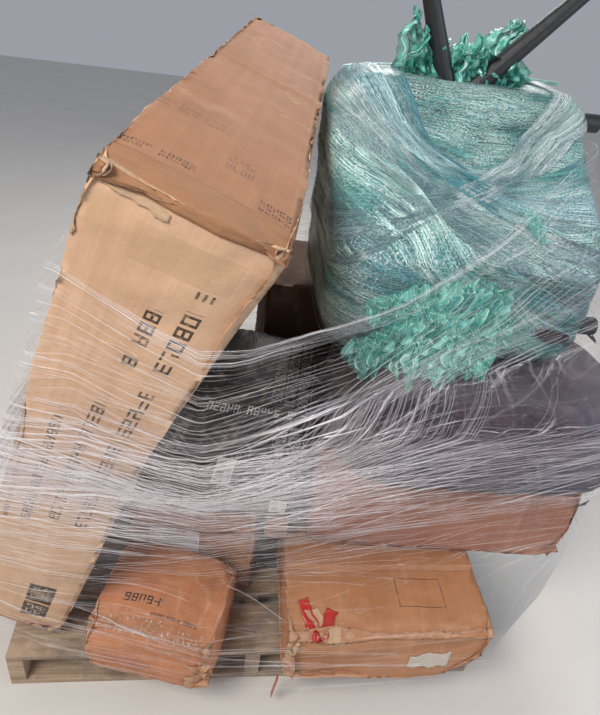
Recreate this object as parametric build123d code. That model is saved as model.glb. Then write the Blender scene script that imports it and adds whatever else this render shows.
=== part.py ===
from build123d import *
import math
import os

# A shrink wrapped pallet load. Millimetres. Origin at the middle of the pallet's underside,
# X along the front edge, Y away from the viewer, Z up.

# Pallet
PALLET_L = 1219
PALLET_D = 1016
BOARD_T = 16
LEAD_BOARD_W = 140
BOARD_W = 89
STRINGER_W = 38
STRINGER_H = 89
STRINGERS = 3
DECK_BOARDS = 7
BOTTOM_BOARDS = 5
BOARD_EDGE = 1.2
DECK_Z = BOARD_T + STRINGER_H + BOARD_T
GAP = 0.5

# Tall flat carton, standing on a short side and leaning right against the rest
TALL_W = 240
TALL_D = 1240
TALL_H = 1267
TALL_AT = (-492, -465)
TALL_YAW = -9.7
TALL_LEAN = 19.6
TALL_TIP = 5.2
TALL_FLARE_Z = 760
TALL_FLARE_MID_Z = 1080
TALL_FLARE_FRONT = 62
TALL_FLARE_BACK = 14
TALL_SEAM_Y = 705
SEAM_W = 4
SEAM_DEPTH = 3
TAPE_W = 60
TAPE_T = 0.5
TAPE_GAP = 0.4
KRAFT_BAND_W = 78
CARTON_EDGE_R = 4

# Small printed carton, front left
SMALL_W = 311
SMALL_D = 254
SMALL_H = 186
SMALL_AT = (-412, -538)
SMALL_YAW = -15.3
SMALL_TORN_W = 34
SMALL_TORN_H = 120

# Carton with the packing list pouch, behind the small one, square to the tall carton
REAR_LEFT_W = 343
REAR_LEFT_D = 300
REAR_LEFT_H = 302
REAR_LEFT_Y = 215
LEAN_GAP = 8
POUCH_W = 150
POUCH_H = 112
POUCH_T = 2.5

# Black printed carton on top of it
BLACK_OVER = 8
BLACK_SPREAD = 4
BLACK_H = 353
BLACK_Y = 222
BLACK_D = 338
LABEL_T = 0.4

# Narrow brown carton that closes the gap under the black one, on the lower right carton
NARROW_SIDE_GAP = 9
NARROW_W = 72
NARROW_D = 305
NARROW_Y = 235
NARROW_LIFT = 2

# Lower right carton, its top rising to the right
FRONT_W = 515
FRONT_D = 400
FRONT_H = 197
FRONT_RISE = 19
FRONT_AT = (58, -597)
FRONT_YAW = -2
FRONT_CRUSH_X = 88
FRONT_CRUSH_Z = 74

# Long flat carton across it
LONG_W = 700
LONG_D = 396
LONG_H = 277
LONG_FRONT_Y = -327
LONG_BESIDE = 13
LONG_YAW = -6.2

# Hidden packing behind and between
BACK_X = (-196, 600)
BACK_Y = (78, 490)
BACK_H = 299
INNER_X = (74, 592)
INNER_Y = (-180, 30)
REAR_X = (0, 780)
REAR_Y = (124, 480)
REAR_CLEAR = 5

# Soft dark bundle lying on the long carton
BUNDLE_BEYOND = 42
BUNDLE_D = 520
BUNDLE_H = 246
BUNDLE_OVERHANG = 92
BUNDLE_INSET = 18
BUNDLE_R = 88
BUNDLE_CORNER_R = 190
REST_GAP = 0.3

# Furniture in teal film on top
FURN_LEFT = 106
FURN_END = 96
FURN_FRONT = -268
FURN_D = 518
FURN_H = 566
FURN_R = 92
FURN_LEAN = 300
FURN_LEAN_FROM = 262
WRAP_GAP = 0.3
WRAP_T = 3
SOFT_STEPS = 4
LEG_SIDES = 20
LEG_D_BASE = 52
LEG_D_TIP = 34
LEG_SEAT = 0.3
LEG_CLEAR = 2
LEG_SINK = 16
LEG_BACK = 392
LEG_UP = 226
LEFT_LEG_X = 268
LEFT_LEG_RUN = -108
RIGHT_LEG_X = 336
RIGHT_LEG_RUN = 224
FOOT_D = 44
FOOT_SINK = 38
FOOT_OUT = 46
FOOT_TOP_BACK = 364
FOOT_TOP_DOWN = 56
FOOT_LOW_BACK = 70
FOOT_LOW_UP = 98

# Clear stretch film round the load
FILM_GAP = 0.8
FILM_T = 3
FILM_SIDES = 48
FILM_STEP = 50
FILM_FOOT = 15
FILM_TOP_X = (-900, -372, -166, 107, 330, 590, 1000)
FILM_TOP_Z = (1250, 1227, 1118, 1168, 1247, 1327, 1350)

# Red tape and pale label on the lower right carton
PALE_LABEL_W = 110
PALE_LABEL_H = 56
RED_Y = 60
RED_W = 34
RED_LEN = 96
TAIL_W = 14
TAIL_T = 1.2
TAIL_L = 92

MIN3 = (Align.MIN, Align.MIN, Align.MIN)
BOTTOM = (Align.CENTER, Align.CENTER, Align.MIN)


def spread(count, start, stop):
    return [start + (stop - start) * i / (count - 1) for i in range(count)]


def prism(outline, depth):
    """Solid with an outline drawn in X and Z, running depth away along Y."""
    face = make_face(Polyline(*[(x, 0, z) for x, z in outline], close=True))
    return extrude(face, amount=depth, dir=(0, 1, 0))


def triangles_to_solid(corners):
    faces = []
    for a, b, c in corners:
        if min(math.dist(a, b), math.dist(b, c), math.dist(c, a)) > 1e-3:
            faces.append(Face(Wire.make_polygon([a, b, c], close=True)))
    return Solid(Shell(faces))


def band(low, high):
    """Triangles between two rings of as many points, seen from outside when they run left."""
    out = []
    for i in range(len(low)):
        j = (i + 1) % len(low)
        out += [(low[i], low[j], high[j]), (low[i], high[j], high[i])]
    return out


def fan(ring, middle):
    return [(ring[i], ring[(i + 1) % len(ring)], middle) for i in range(len(ring))]


def soft_block(low, high, radius, corner=0, lean=0, lean_from=0):
    """Box between two corners with all its edges rounded, in flat facets.

    corner is the radius of its upright corners. Above the height lean_from its front leans back,
    by lean where the top's rounding starts."""
    corner = max(corner, radius)
    half = [(b - a) / 2 for a, b in zip(low, high)]
    mid = [(b + a) / 2 for a, b in zip(low, high)]
    steps = [math.pi / 2 * i / SOFT_STEPS for i in range(SOFT_STEPS + 1)]
    shoulder = high[2] - radius
    levels = [(mid[2] - half[2] + radius - radius * math.sin(t), radius * math.cos(t)) for t in steps[::-1]]
    levels += [(lean_from, radius)] if lean else []
    levels += [(shoulder + radius * math.sin(t), radius * math.cos(t)) for t in steps]
    rings = []
    for z, reach in levels:
        ring = []
        for n, (sx, sy) in enumerate(((1, 1), (-1, 1), (-1, -1), (1, -1))):
            for turn in steps:
                way = n * math.pi / 2 + turn
                x = mid[0] + sx * (half[0] - corner) + (corner - radius + reach) * math.cos(way)
                y = mid[1] + sy * (half[1] - corner) + (corner - radius + reach) * math.sin(way)
                if lean:
                    share = min(max((z - lean_from) / (shoulder - lean_from), 0), 1)
                    y += lean * share * (high[1] - y) / (high[1] - low[1])
                ring.append((x, y, z))
        rings.append(ring)
    middle = (mid[0], mid[1] + lean / 2)
    corners = [t for a, b in zip(rings, rings[1:]) for t in band(a, b)]
    corners += [t[::-1] for t in fan(rings[0], (*middle, low[2]))]
    corners += fan(rings[-1], (*middle, high[2]))
    return triangles_to_solid(corners)


def seam(width, length, depth):
    return Box(width, length, 2 * depth)


# Places
def tall_frame():
    return (Pos(TALL_AT[0], TALL_AT[1], DECK_Z + GAP) * Rot(Z=TALL_YAW) * Rot(Y=TALL_LEAN)
            * Rot(X=TALL_TIP))


def square_frame():
    """Upright frame turned with the tall carton."""
    return Pos(TALL_AT[0], TALL_AT[1], 0) * Rot(Z=TALL_YAW)


def lean_at(z):
    """X of the tall carton's right face at a height, in the square frame."""
    return (z - DECK_Z - GAP) * math.tan(math.radians(TALL_LEAN))


def front_frame():
    return Pos(FRONT_AT[0], FRONT_AT[1], DECK_Z + GAP) * Rot(Z=FRONT_YAW)


FRONT_SLOPE = math.degrees(math.atan2(FRONT_RISE, FRONT_W))


def front_top(x):
    """Height of the lower right carton's top."""
    return DECK_Z + GAP + FRONT_H + (x - FRONT_AT[0]) * FRONT_RISE / FRONT_W


def pouch_left():
    return lean_at(DECK_Z + GAP + REAR_LEFT_H) + LEAN_GAP


def narrow_left():
    return pouch_left() + REAR_LEFT_W + NARROW_SIDE_GAP


def black_right():
    return narrow_left() + NARROW_W + BLACK_OVER


def long_left():
    """X of the long carton's front left corner, beside the black carton's right face."""
    corner = (square_frame() * Pos(black_right() + BLACK_SPREAD, BLACK_Y + BLACK_D, 0)).position
    return corner.X + LONG_BESIDE - (corner.Y - LONG_FRONT_Y) * math.tan(math.radians(-LONG_YAW))


def long_frame():
    left = long_left()
    return (Pos(left, LONG_FRONT_Y, front_top(left) + 2 * GAP) * Rot(Z=LONG_YAW)
            * Rot(Y=-FRONT_SLOPE))


# Pallet
def pallet():
    parts = {}
    stringer_x = spread(STRINGERS, -PALLET_L / 2 + STRINGER_W / 2, PALLET_L / 2 - STRINGER_W / 2)
    for n, x in enumerate(stringer_x, 1):
        bar = Box(STRINGER_W, PALLET_D, STRINGER_H, align=BOTTOM)
        bar = chamfer(bar.edges().filter_by(Axis.Y), BOARD_EDGE)
        parts[f"stringer_{n}"] = Pos(x, 0, BOARD_T) * bar
    for name, count, z in (("deck_board", DECK_BOARDS, BOARD_T + STRINGER_H),
                           ("bottom_board", BOTTOM_BOARDS, 0)):
        edge = PALLET_D / 2 - LEAD_BOARD_W / 2
        for n, y in enumerate(spread(count, -edge, edge), 1):
            wide = LEAD_BOARD_W if n in (1, count) else BOARD_W
            board = Box(PALLET_L, wide, BOARD_T, align=BOTTOM)
            board = chamfer(board.edges().filter_by(Axis.X), BOARD_EDGE)
            parts[f"{name}_{n}"] = Pos(0, y, z) * board
    return parts


# Cartons
def carton(w, d, h, along="Y"):
    body = Box(w, d, h, align=MIN3)
    body = fillet(body.edges().filter_by(Axis.Z), CARTON_EDGE_R)
    cut = (seam(SEAM_W, d + SEAM_W, SEAM_DEPTH) if along == "Y"
           else Rot(Z=90) * seam(SEAM_W, w + SEAM_W, SEAM_DEPTH))
    return body - Pos(w / 2, d / 2, h) * cut


def tall_carton():
    def outline(flare):
        return [(-TALL_W, 0), (0, 0), (0, TALL_FLARE_Z), (flare * 0.6, TALL_FLARE_MID_Z),
                (flare, TALL_H), (-TALL_W, TALL_H)]

    front = make_face(Polyline(*[(x, 0, z) for x, z in outline(TALL_FLARE_FRONT)], close=True))
    back = make_face(Polyline(*[(x, TALL_D, z) for x, z in outline(TALL_FLARE_BACK)], close=True))
    body = loft([front, back], ruled=True)
    cut = Pos(-TALL_W / 2, TALL_SEAM_Y, TALL_H) * seam(
        TALL_W + 2 * TALL_FLARE_FRONT + SEAM_W, SEAM_W, SEAM_DEPTH)
    band = Pos(-TALL_W, 0, TALL_H + TAPE_GAP) * Box(TALL_W, KRAFT_BAND_W, TAPE_T, align=MIN3)
    place = tall_frame()
    return {"tall_carton": place * (body - cut), "tall_carton_tape": place * band}


def small_carton():
    place = Pos(SMALL_AT[0], SMALL_AT[1], DECK_Z + GAP) * Rot(Z=SMALL_YAW)
    body = carton(SMALL_W, SMALL_D, SMALL_H)
    torn = Pos(SMALL_W, 0, SMALL_TORN_H / 2) * Rot(Z=45) * Box(
        SMALL_TORN_W, SMALL_TORN_W, SMALL_TORN_H)
    tape = Pos(CARTON_EDGE_R, GAP, SMALL_H + TAPE_GAP) * Box(
        SMALL_W - 2 * CARTON_EDGE_R, TAPE_W, TAPE_T, align=MIN3)
    return {"small_carton": place * (body - torn), "small_carton_tape": place * tape}


def left_stack():
    """The carton with the pouch, the narrow carton beside it and the black carton on both."""
    place = square_frame()
    floor = DECK_Z + GAP
    top = floor + REAR_LEFT_H
    left = pouch_left()
    low = Pos(left, REAR_LEFT_Y, floor) * carton(REAR_LEFT_W, REAR_LEFT_D, REAR_LEFT_H)
    pouch = Pos(left + REAR_LEFT_W / 3, REAR_LEFT_Y - TAPE_GAP, top - POUCH_H) * Box(
        POUCH_W, POUCH_T, POUCH_H, align=(Align.CENTER, Align.MAX, Align.CENTER))
    right = (place * Pos(narrow_left() + NARROW_W, NARROW_Y + NARROW_D, 0)).position
    under = front_top(right.X) + NARROW_LIFT
    narrow = Pos(narrow_left(), NARROW_Y, under) * carton(NARROW_W, NARROW_D, top - under)
    base = top + GAP
    lid = base + BLACK_H
    edge = black_right()
    outline = [(lean_at(base) + LEAN_GAP, base), (edge, base), (edge + BLACK_SPREAD, lid),
               (lean_at(lid) + LEAN_GAP, lid)]
    black = Pos(0, BLACK_Y, 0) * prism(outline, BLACK_D)
    labels = {}
    for n, (x, z, w, h) in enumerate(((330, 560, 52, 92), (496, 462, 44, 44)), 1):
        labels[f"black_carton_label_{n}"] = place * Pos(x, BLACK_Y - TAPE_GAP, z) * Box(
            w, LABEL_T, h, align=(Align.CENTER, Align.MAX, Align.CENTER))
    return {"pouch_carton": place * low, "packing_pouch": place * pouch,
            "narrow_carton": place * narrow, "black_carton": place * black, **labels}


def front_carton():
    place = front_frame()
    outline = [(0, 0), (FRONT_W - FRONT_CRUSH_X, 0), (FRONT_W, FRONT_CRUSH_Z),
               (FRONT_W, FRONT_H + FRONT_RISE), (0, FRONT_H)]
    body = prism(outline, FRONT_D)
    tilt = Rot(Y=-FRONT_SLOPE)
    cut = Pos(FRONT_W / 2, FRONT_D / 2, FRONT_H + FRONT_RISE / 2) * tilt * Rot(Z=90) * seam(
        SEAM_W, FRONT_W + FRONT_CRUSH_X, SEAM_DEPTH)
    red = Part()
    for x, turn in ((52, -14), (84, 30)):
        red += Pos(x, RED_Y, 0) * Rot(Z=turn) * Box(RED_W, RED_LEN, TAPE_T, align=BOTTOM)
    red = Pos(0, 0, FRONT_H + TAPE_GAP) * tilt * red
    label = Pos(FRONT_W * 0.62, -TAPE_GAP, FRONT_H * 0.3) * Box(
        PALE_LABEL_W, LABEL_T, PALE_LABEL_H, align=(Align.CENTER, Align.MAX, Align.CENTER))
    tail = Pos(-TAPE_GAP, 16, 12) * Rot(Y=6) * Box(
        TAIL_T, TAIL_W, TAIL_L, align=(Align.MAX, Align.CENTER, Align.MAX))
    return {"front_carton": place * (body - cut), "red_tape": place * red,
            "front_carton_label": place * label, "red_tape_tail": place * tail}


def long_carton():
    return {"long_carton": long_frame() * carton(LONG_W, LONG_D, LONG_H, along="X")}


def hidden_cartons():
    floor = DECK_Z + GAP
    back = Pos(BACK_X[0], BACK_Y[0], floor) * carton(
        BACK_X[1] - BACK_X[0], BACK_Y[1] - BACK_Y[0], BACK_H)
    rise = FRONT_RISE / FRONT_W
    top_l = FRONT_H + (INNER_X[0] - FRONT_AT[0]) * rise - 2 * GAP
    top_r = FRONT_H + (INNER_X[1] - FRONT_AT[0]) * rise - 2 * GAP
    span = INNER_X[1] - INNER_X[0]
    inner = Pos(INNER_X[0], INNER_Y[0], floor) * prism(
        [(0, 0), (span, 0), (span, top_r), (0, top_l)], INNER_Y[1] - INNER_Y[0])
    rear_z = floor + BACK_H + GAP
    rear_top = furniture_low() - REAR_CLEAR
    rear = Pos(REAR_X[0], REAR_Y[0], rear_z) * carton(
        REAR_X[1] - REAR_X[0], REAR_Y[1] - REAR_Y[0], rear_top - rear_z)
    return {"back_core": back, "inner_core": inner, "rear_carton": rear}


# Soft bundle and furniture
def dark_bundle():
    body = soft_block((0, 0, 0), (LONG_W + BUNDLE_BEYOND, BUNDLE_D, BUNDLE_H), BUNDLE_R,
                      BUNDLE_CORNER_R)
    return {"dark_bundle": long_frame()
            * Pos(BUNDLE_INSET, -BUNDLE_OVERHANG, LONG_H + REST_GAP) * body}


def furniture_low():
    """Height of the furniture's underside, whose film rests on the bundle's highest corner."""
    flat_end = BUNDLE_INSET + LONG_W + BUNDLE_BEYOND - BUNDLE_R
    crest = long_frame() * Pos(flat_end, 0, LONG_H + REST_GAP + BUNDLE_H)
    return crest.position.Z + REST_GAP + WRAP_T + WRAP_GAP


def furniture_right():
    return long_left() + LONG_W - FURN_END


def furniture_block(grow):
    low = (FURN_LEFT - grow, FURN_FRONT - grow, furniture_low() - grow)
    high = (furniture_right() + grow, FURN_FRONT + FURN_D + grow, furniture_low() + FURN_H + grow)
    return soft_block(low, high, FURN_R + grow, lean=FURN_LEAN,
                      lean_from=furniture_low() + FURN_LEAN_FROM)


def leg(x, run, grow=0.0):
    """Leg from inside the furniture's top, its tip moved sideways by run."""
    way = Vector(run, 0, LEG_UP + LEG_SINK)
    plane = Plane(origin=(FURN_LEFT + x, FURN_FRONT + LEG_BACK, furniture_low() + FURN_H - LEG_SINK),
                  z_dir=tuple(way))
    base = RegularPolygon(LEG_D_BASE / 2 + grow, LEG_SIDES)
    tip = Pos(0, 0, way.length) * RegularPolygon(LEG_D_TIP / 2 + grow, LEG_SIDES)
    return plane * loft([base.face(), tip.face()], ruled=True)


def foot(y, z, grow=0.0):
    bar = Cylinder(FOOT_D / 2 + grow, FOOT_OUT + FOOT_SINK, align=BOTTOM)
    return Pos(furniture_right() - FOOT_SINK, FURN_FRONT + y, z) * Rot(Y=90) * bar


def furniture():
    body = furniture_block(0)
    leg_ends = ((LEFT_LEG_X, LEFT_LEG_RUN), (RIGHT_LEG_X, RIGHT_LEG_RUN))
    foot_ends = ((FOOT_TOP_BACK, furniture_low() + FURN_H - FOOT_TOP_DOWN),
                 (FOOT_LOW_BACK, furniture_low() + FOOT_LOW_UP))
    legs = [leg(*ends) for ends in leg_ends]
    feet = [foot(*ends) for ends in foot_ends]
    wrap = furniture_block(WRAP_GAP + WRAP_T) - furniture_block(WRAP_GAP)
    for cut, all_ends in ((leg, leg_ends), (foot, foot_ends)):
        for ends in all_ends:
            body -= cut(*ends, LEG_SEAT)
            wrap -= cut(*ends, LEG_CLEAR)
    return {"furniture_body": body, "furniture_leg_left": legs[0], "furniture_leg_right": legs[1],
            "furniture_foot_top": feet[0], "furniture_foot_low": feet[1], "teal_wrap": wrap}


# Clear film
def outline_runs(shape, steps=24):
    """Straight runs along a solid's edges and over its curved faces."""
    runs = []
    for edge in shape.edges():
        count = 1 if edge.geom_type == GeomType.LINE else steps
        points = [edge.position_at(i / count) for i in range(count + 1)]
        runs += list(zip(points, points[1:]))
    for face in shape.faces():
        if face.geom_type == GeomType.PLANE:
            continue
        grid = [[face.position_at(i / steps, j / steps) for i in range(steps + 1)]
                for j in range(steps + 1)]
        for line in grid + [list(line) for line in zip(*grid)]:
            runs += list(zip(line, line[1:]))
    return [((a.X, a.Y, a.Z), (b.X, b.Y, b.Z)) for a, b in runs]


def slab_points(runs, low, high):
    """Ends of the parts of the runs that lie between two heights."""
    points = []
    for a, b in runs:
        (a, b) = (a, b) if a[2] <= b[2] else (b, a)
        if b[2] < low or a[2] > high:
            continue
        rise = b[2] - a[2]
        for z in (max(low, a[2]), min(high, b[2])):
            t = 0 if rise < 1e-6 else (z - a[2]) / rise
            points.append((a[0] + t * (b[0] - a[0]), a[1] + t * (b[1] - a[1])))
        points.append(a[:2] if a[2] >= low else points[-1])
        points.append(b[:2] if b[2] <= high else points[-1])
    return points


def hull_ring(points, away):
    """Polygon round the points that stays away from them, one side for each direction."""
    step = 2 * math.pi / FILM_SIDES
    ways = [(math.cos(i * step), math.sin(i * step)) for i in range(FILM_SIDES)]
    reach = [max(x * c + y * s for x, y in points) + away for c, s in ways]
    ring = []
    for i, (c, s) in enumerate(ways):
        c2, s2 = ways[(i + 1) % FILM_SIDES]
        r, r2 = reach[i], reach[(i + 1) % FILM_SIDES]
        det = c * s2 - s * c2
        ring.append(((r * s2 - r2 * s) / det, (c * r2 - c2 * r) / det))
    return ring


def film_top(x):
    corners = list(zip(FILM_TOP_X, FILM_TOP_Z))
    for (x0, z0), (x1, z1) in zip(corners, corners[1:]):
        if x <= x1:
            return z0 + (z1 - z0) * (x - x0) / (x1 - x0)
    return FILM_TOP_Z[-1]


def film_levels():
    foot = DECK_Z + FILM_FOOT
    count = math.ceil((max(FILM_TOP_Z) - foot) / FILM_STEP)
    return [foot + FILM_STEP * i for i in range(count + 1)]


def film_column(rings, levels, side):
    """One column of ring corners, cut where it passes the film's upper edge."""
    column = [(*ring[side], z) for ring, z in zip(rings, levels)]
    out = [column[0]]
    for below, above in zip(column, column[1:]):
        over_low, over_high = below[2] - film_top(below[0]), above[2] - film_top(above[0])
        if over_low >= 0:
            out.append(out[-1])
        elif over_high > 0:
            t = over_low / (over_low - over_high)
            out.append(tuple(p + t * (q - p) for p, q in zip(below, above)))
        else:
            out.append(above)
    return out


def clear_wrap(items):
    runs = [run for item in items for run in outline_runs(item)]
    levels = film_levels()
    walls = []
    for away in (FILM_GAP, FILM_GAP + FILM_T):
        rings = [hull_ring(slab_points(runs, z - FILM_STEP, z + FILM_STEP), away) for z in levels]
        walls.append([film_column(rings, levels, side) for side in range(FILM_SIDES)])
    inner, outer = walls
    corners = []
    for i in range(FILM_SIDES):
        j = (i + 1) % FILM_SIDES
        for wall, turned in ((outer, False), (inner, True)):
            for k in range(len(levels) - 1):
                a, b, c, d = wall[i][k], wall[j][k], wall[j][k + 1], wall[i][k + 1]
                pair = [(a, b, c), (a, c, d)]
                corners += [t[::-1] for t in pair] if turned else pair
        for k, turned in ((0, True), (-1, False)):
            a, b, c, d = outer[i][k], outer[j][k], inner[j][k], inner[i][k]
            pair = [(a, b, c), (a, c, d)]
            corners += [t[::-1] for t in pair] if turned else pair
    return {"clear_wrap": triangles_to_solid(corners)}


def build():
    parts = pallet()
    load = {**tall_carton(), **small_carton(), **left_stack(), **front_carton(), **long_carton(),
            **hidden_cartons(), **dark_bundle(), **furniture()}
    inside = [shape for name, shape in load.items() if name != "red_tape_tail"]
    parts.update(load)
    parts.update(clear_wrap(inside))
    return parts


os.makedirs("parts", exist_ok=True)
for node, shape in build().items():
    export_step(shape, f"parts/{node}.step")
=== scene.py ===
import itertools
import math
import random

import bpy
import numpy as np
from bpy.props import FloatProperty, IntProperty, PointerProperty
from mathutils import Matrix, Vector
from mathutils.bvhtree import BVHTree


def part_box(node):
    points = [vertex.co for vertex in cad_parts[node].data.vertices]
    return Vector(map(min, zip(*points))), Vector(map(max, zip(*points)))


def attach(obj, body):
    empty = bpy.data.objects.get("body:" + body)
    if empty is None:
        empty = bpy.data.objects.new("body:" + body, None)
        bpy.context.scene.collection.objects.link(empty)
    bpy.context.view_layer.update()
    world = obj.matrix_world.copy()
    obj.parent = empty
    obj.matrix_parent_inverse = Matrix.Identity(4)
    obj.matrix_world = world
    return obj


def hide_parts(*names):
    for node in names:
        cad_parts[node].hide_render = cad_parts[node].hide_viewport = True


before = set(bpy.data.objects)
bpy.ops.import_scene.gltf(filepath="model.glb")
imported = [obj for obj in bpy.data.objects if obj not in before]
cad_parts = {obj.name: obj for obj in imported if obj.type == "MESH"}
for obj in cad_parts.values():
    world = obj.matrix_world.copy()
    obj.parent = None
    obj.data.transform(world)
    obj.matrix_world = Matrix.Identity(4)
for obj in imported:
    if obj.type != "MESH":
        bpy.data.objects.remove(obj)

bl_info = {
    "name": "Wrapped Pallet Load",
    "version": (1, 0, 0),
    "blender": (4, 5, 0),
    "location": "3D View > Sidebar > Pallet Load",
    "description": "Dresses the CAD pallet load with crushed cartons, soft goods and stretch film",
    "category": "Object",
}

# Row frame, metres. Placement of the cartons repeats the part's driving sizes.
TALL_SIZE = (0.240, 1.240, 1.267)
TALL_AT = (-0.492, -0.465, 0.1215)
TALL_TURN = (-9.7, 19.6, 5.2)
SMALL_SIZE = (0.311, 0.254, 0.186)
SMALL_AT = (-0.412, -0.538, 0.1215)
SMALL_YAW = -15.3
POUCH_SIZE = (0.343, 0.300, 0.302)
FRONT_SIZE = (0.515, 0.400, 0.197)
FRONT_AT = (0.058, -0.597, 0.1215)
FRONT_YAW = -2.0
FRONT_RISE = 0.019
LONG_SIZE = (0.700, 0.396, 0.277)
LONG_AT = (0.124, -0.327)
LONG_YAW = -6.2
BUNDLE_SIZE = (0.742, 0.520, 0.246)
BUNDLE_AT = (0.018, -0.092, LONG_SIZE[2] + 0.0003)
SOFT_R, BUNDLE_CORNER_R, FURN_R = 0.088, 0.190, 0.092
FURN_LEAN, FURN_LEAN_FROM = 0.300, 0.262
FILM_TOP = ((-0.90, 1.250), (-0.372, 1.227), (-0.166, 1.118), (0.107, 1.168), (0.33, 1.247), (0.59, 1.327), (1.0, 1.350))
FILM_LOW, FILM_STEP = 0.136, 0.050
FILM_MIDDLE = (0.05, 0.02)

# Camera of the photograph, fitted to the load
CAMERA_AT = (-0.150, -1.399, 1.614)
CAMERA_YAW, CAMERA_PITCH, CAMERA_ROLL = 10.08, 32.52, 8.34
FOCAL_PX, PHOTO_H, SENSOR = 602.0, 715.0, 36.0


# Numbers over many points at once
def value_noise(points, cell, seed):
    """Smooth noise from -1 to 1 at points, with features about one cell across."""
    q = np.asarray(points, float) / np.asarray(cell, float) + seed * 7.31
    base = np.floor(q).astype(np.int64)
    f = q - base
    f = f * f * (3 - 2 * f)
    total = np.zeros(len(q))
    for corner in itertools.product((0, 1), repeat=3):
        n = base + corner
        h = (n[:, 0] * 73856093) ^ (n[:, 1] * 19349663) ^ (n[:, 2] * 83492791) ^ (seed * 2654435761)
        h = (h ^ (h >> 13)) * 1274126177 & 0x7FFFFFFF
        h = (h ^ (h >> 15)) & 0xFFFF
        w = np.prod(np.where(corner, f, 1 - f), axis=1)
        total += w * (h / 32767.5 - 1)
    return total


def layered_noise(points, cell, seed, octaves=3):
    total, size = 0, np.asarray(cell, float)
    for k in range(octaves):
        total = total + value_noise(points, size / 2**k, seed + k) / 2**k
    return total


def creases(points, cell, seed, sharp=8):
    """Thin lines where the noise crosses zero: 1 on a line, 0 away from it."""
    return np.clip(1 - np.abs(layered_noise(points, cell, seed, 2)) * sharp, 0, 1)


def smooth(a, b, x):
    t = np.clip((x - a) / (b - a), 0, 1)
    return t * t * (3 - 2 * t)


def turn(axis, degrees):
    return Matrix.Rotation(math.radians(degrees), 4, axis)


def place(at, yaw=0, lean=0, tip=0):
    return Matrix.Translation(at) @ turn("Z", yaw) @ turn("Y", lean) @ turn("X", tip)


def move(matrix, points):
    m = np.array(matrix)
    return points @ m[:3, :3].T + m[:3, 3]


# Objects
def mesh_object(name, points, faces, material, attributes=(), shade=True):
    """Object from arrays. attributes are (name, domain, values), a value per point or face."""
    mesh = bpy.data.meshes.new(name)
    mesh.from_pydata([tuple(p) for p in points], [], [tuple(map(int, f)) for f in faces])
    for label, domain, values in attributes:
        values = np.asarray(values, np.float32)
        kind = "FLOAT" if values.ndim == 1 else "FLOAT_VECTOR"
        layer = mesh.attributes.new(label, kind, domain)
        layer.data.foreach_set("value" if kind == "FLOAT" else "vector", values.ravel())
    if shade:
        mesh.shade_smooth()
    mesh.materials.append(material)
    obj = bpy.data.objects.new(name, mesh)
    bpy.context.scene.collection.objects.link(obj)
    return obj


def finish_piece(obj, nodes=()):
    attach(obj, "root")
    if nodes:
        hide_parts(*nodes)
    return obj


def grid_faces(rows, columns, closed=False):
    """Quads of a grid whose points run along the columns first."""
    out = []
    last = columns if closed else columns - 1
    for r in range(rows - 1):
        for c in range(last):
            d = (c + 1) % columns
            out.append((r * columns + c, r * columns + d, (r + 1) * columns + d, (r + 1) * columns + c))
    return out


# Shader building
class Sock:
    """An output socket that takes part in sums."""

    def __init__(self, shader, socket):
        self.shader, self.socket = shader, socket

    def math(self, operation, *others, clamp=False, turned=False):
        values = [self, *others]
        if turned:
            values.reverse()
        return self.shader.make("Math", {"operation": operation, "use_clamp": clamp}, dict(enumerate(values)))

    def __add__(self, o): return self.math("ADD", o)
    def __radd__(self, o): return self.math("ADD", o, turned=True)
    def __sub__(self, o): return self.math("SUBTRACT", o)
    def __rsub__(self, o): return self.math("SUBTRACT", o, turned=True)
    def __mul__(self, o): return self.math("MULTIPLY", o)
    def __rmul__(self, o): return self.math("MULTIPLY", o, turned=True)
    def __truediv__(self, o): return self.math("DIVIDE", o)
    def __rtruediv__(self, o): return self.math("DIVIDE", o, turned=True)
    def __pow__(self, o): return self.math("POWER", o)
    def __neg__(self): return self.math("MULTIPLY", -1)
    def over(self, o): return self.math("GREATER_THAN", o)
    def under(self, o): return self.math("LESS_THAN", o)
    def floor(self): return self.math("FLOOR")
    def fraction(self): return self.math("FRACT")
    def size(self): return self.math("ABSOLUTE")
    def sine(self): return self.math("SINE")
    def clip(self): return self.math("ADD", 0, clamp=True)

    def ramp(self, low, high, to_low=0, to_high=1):
        return self.shader.make("MapRange", {"interpolation_type": "SMOOTHSTEP"}, {
            "Value": self, "From Min": low, "From Max": high, "To Min": to_low, "To Max": to_high})


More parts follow.
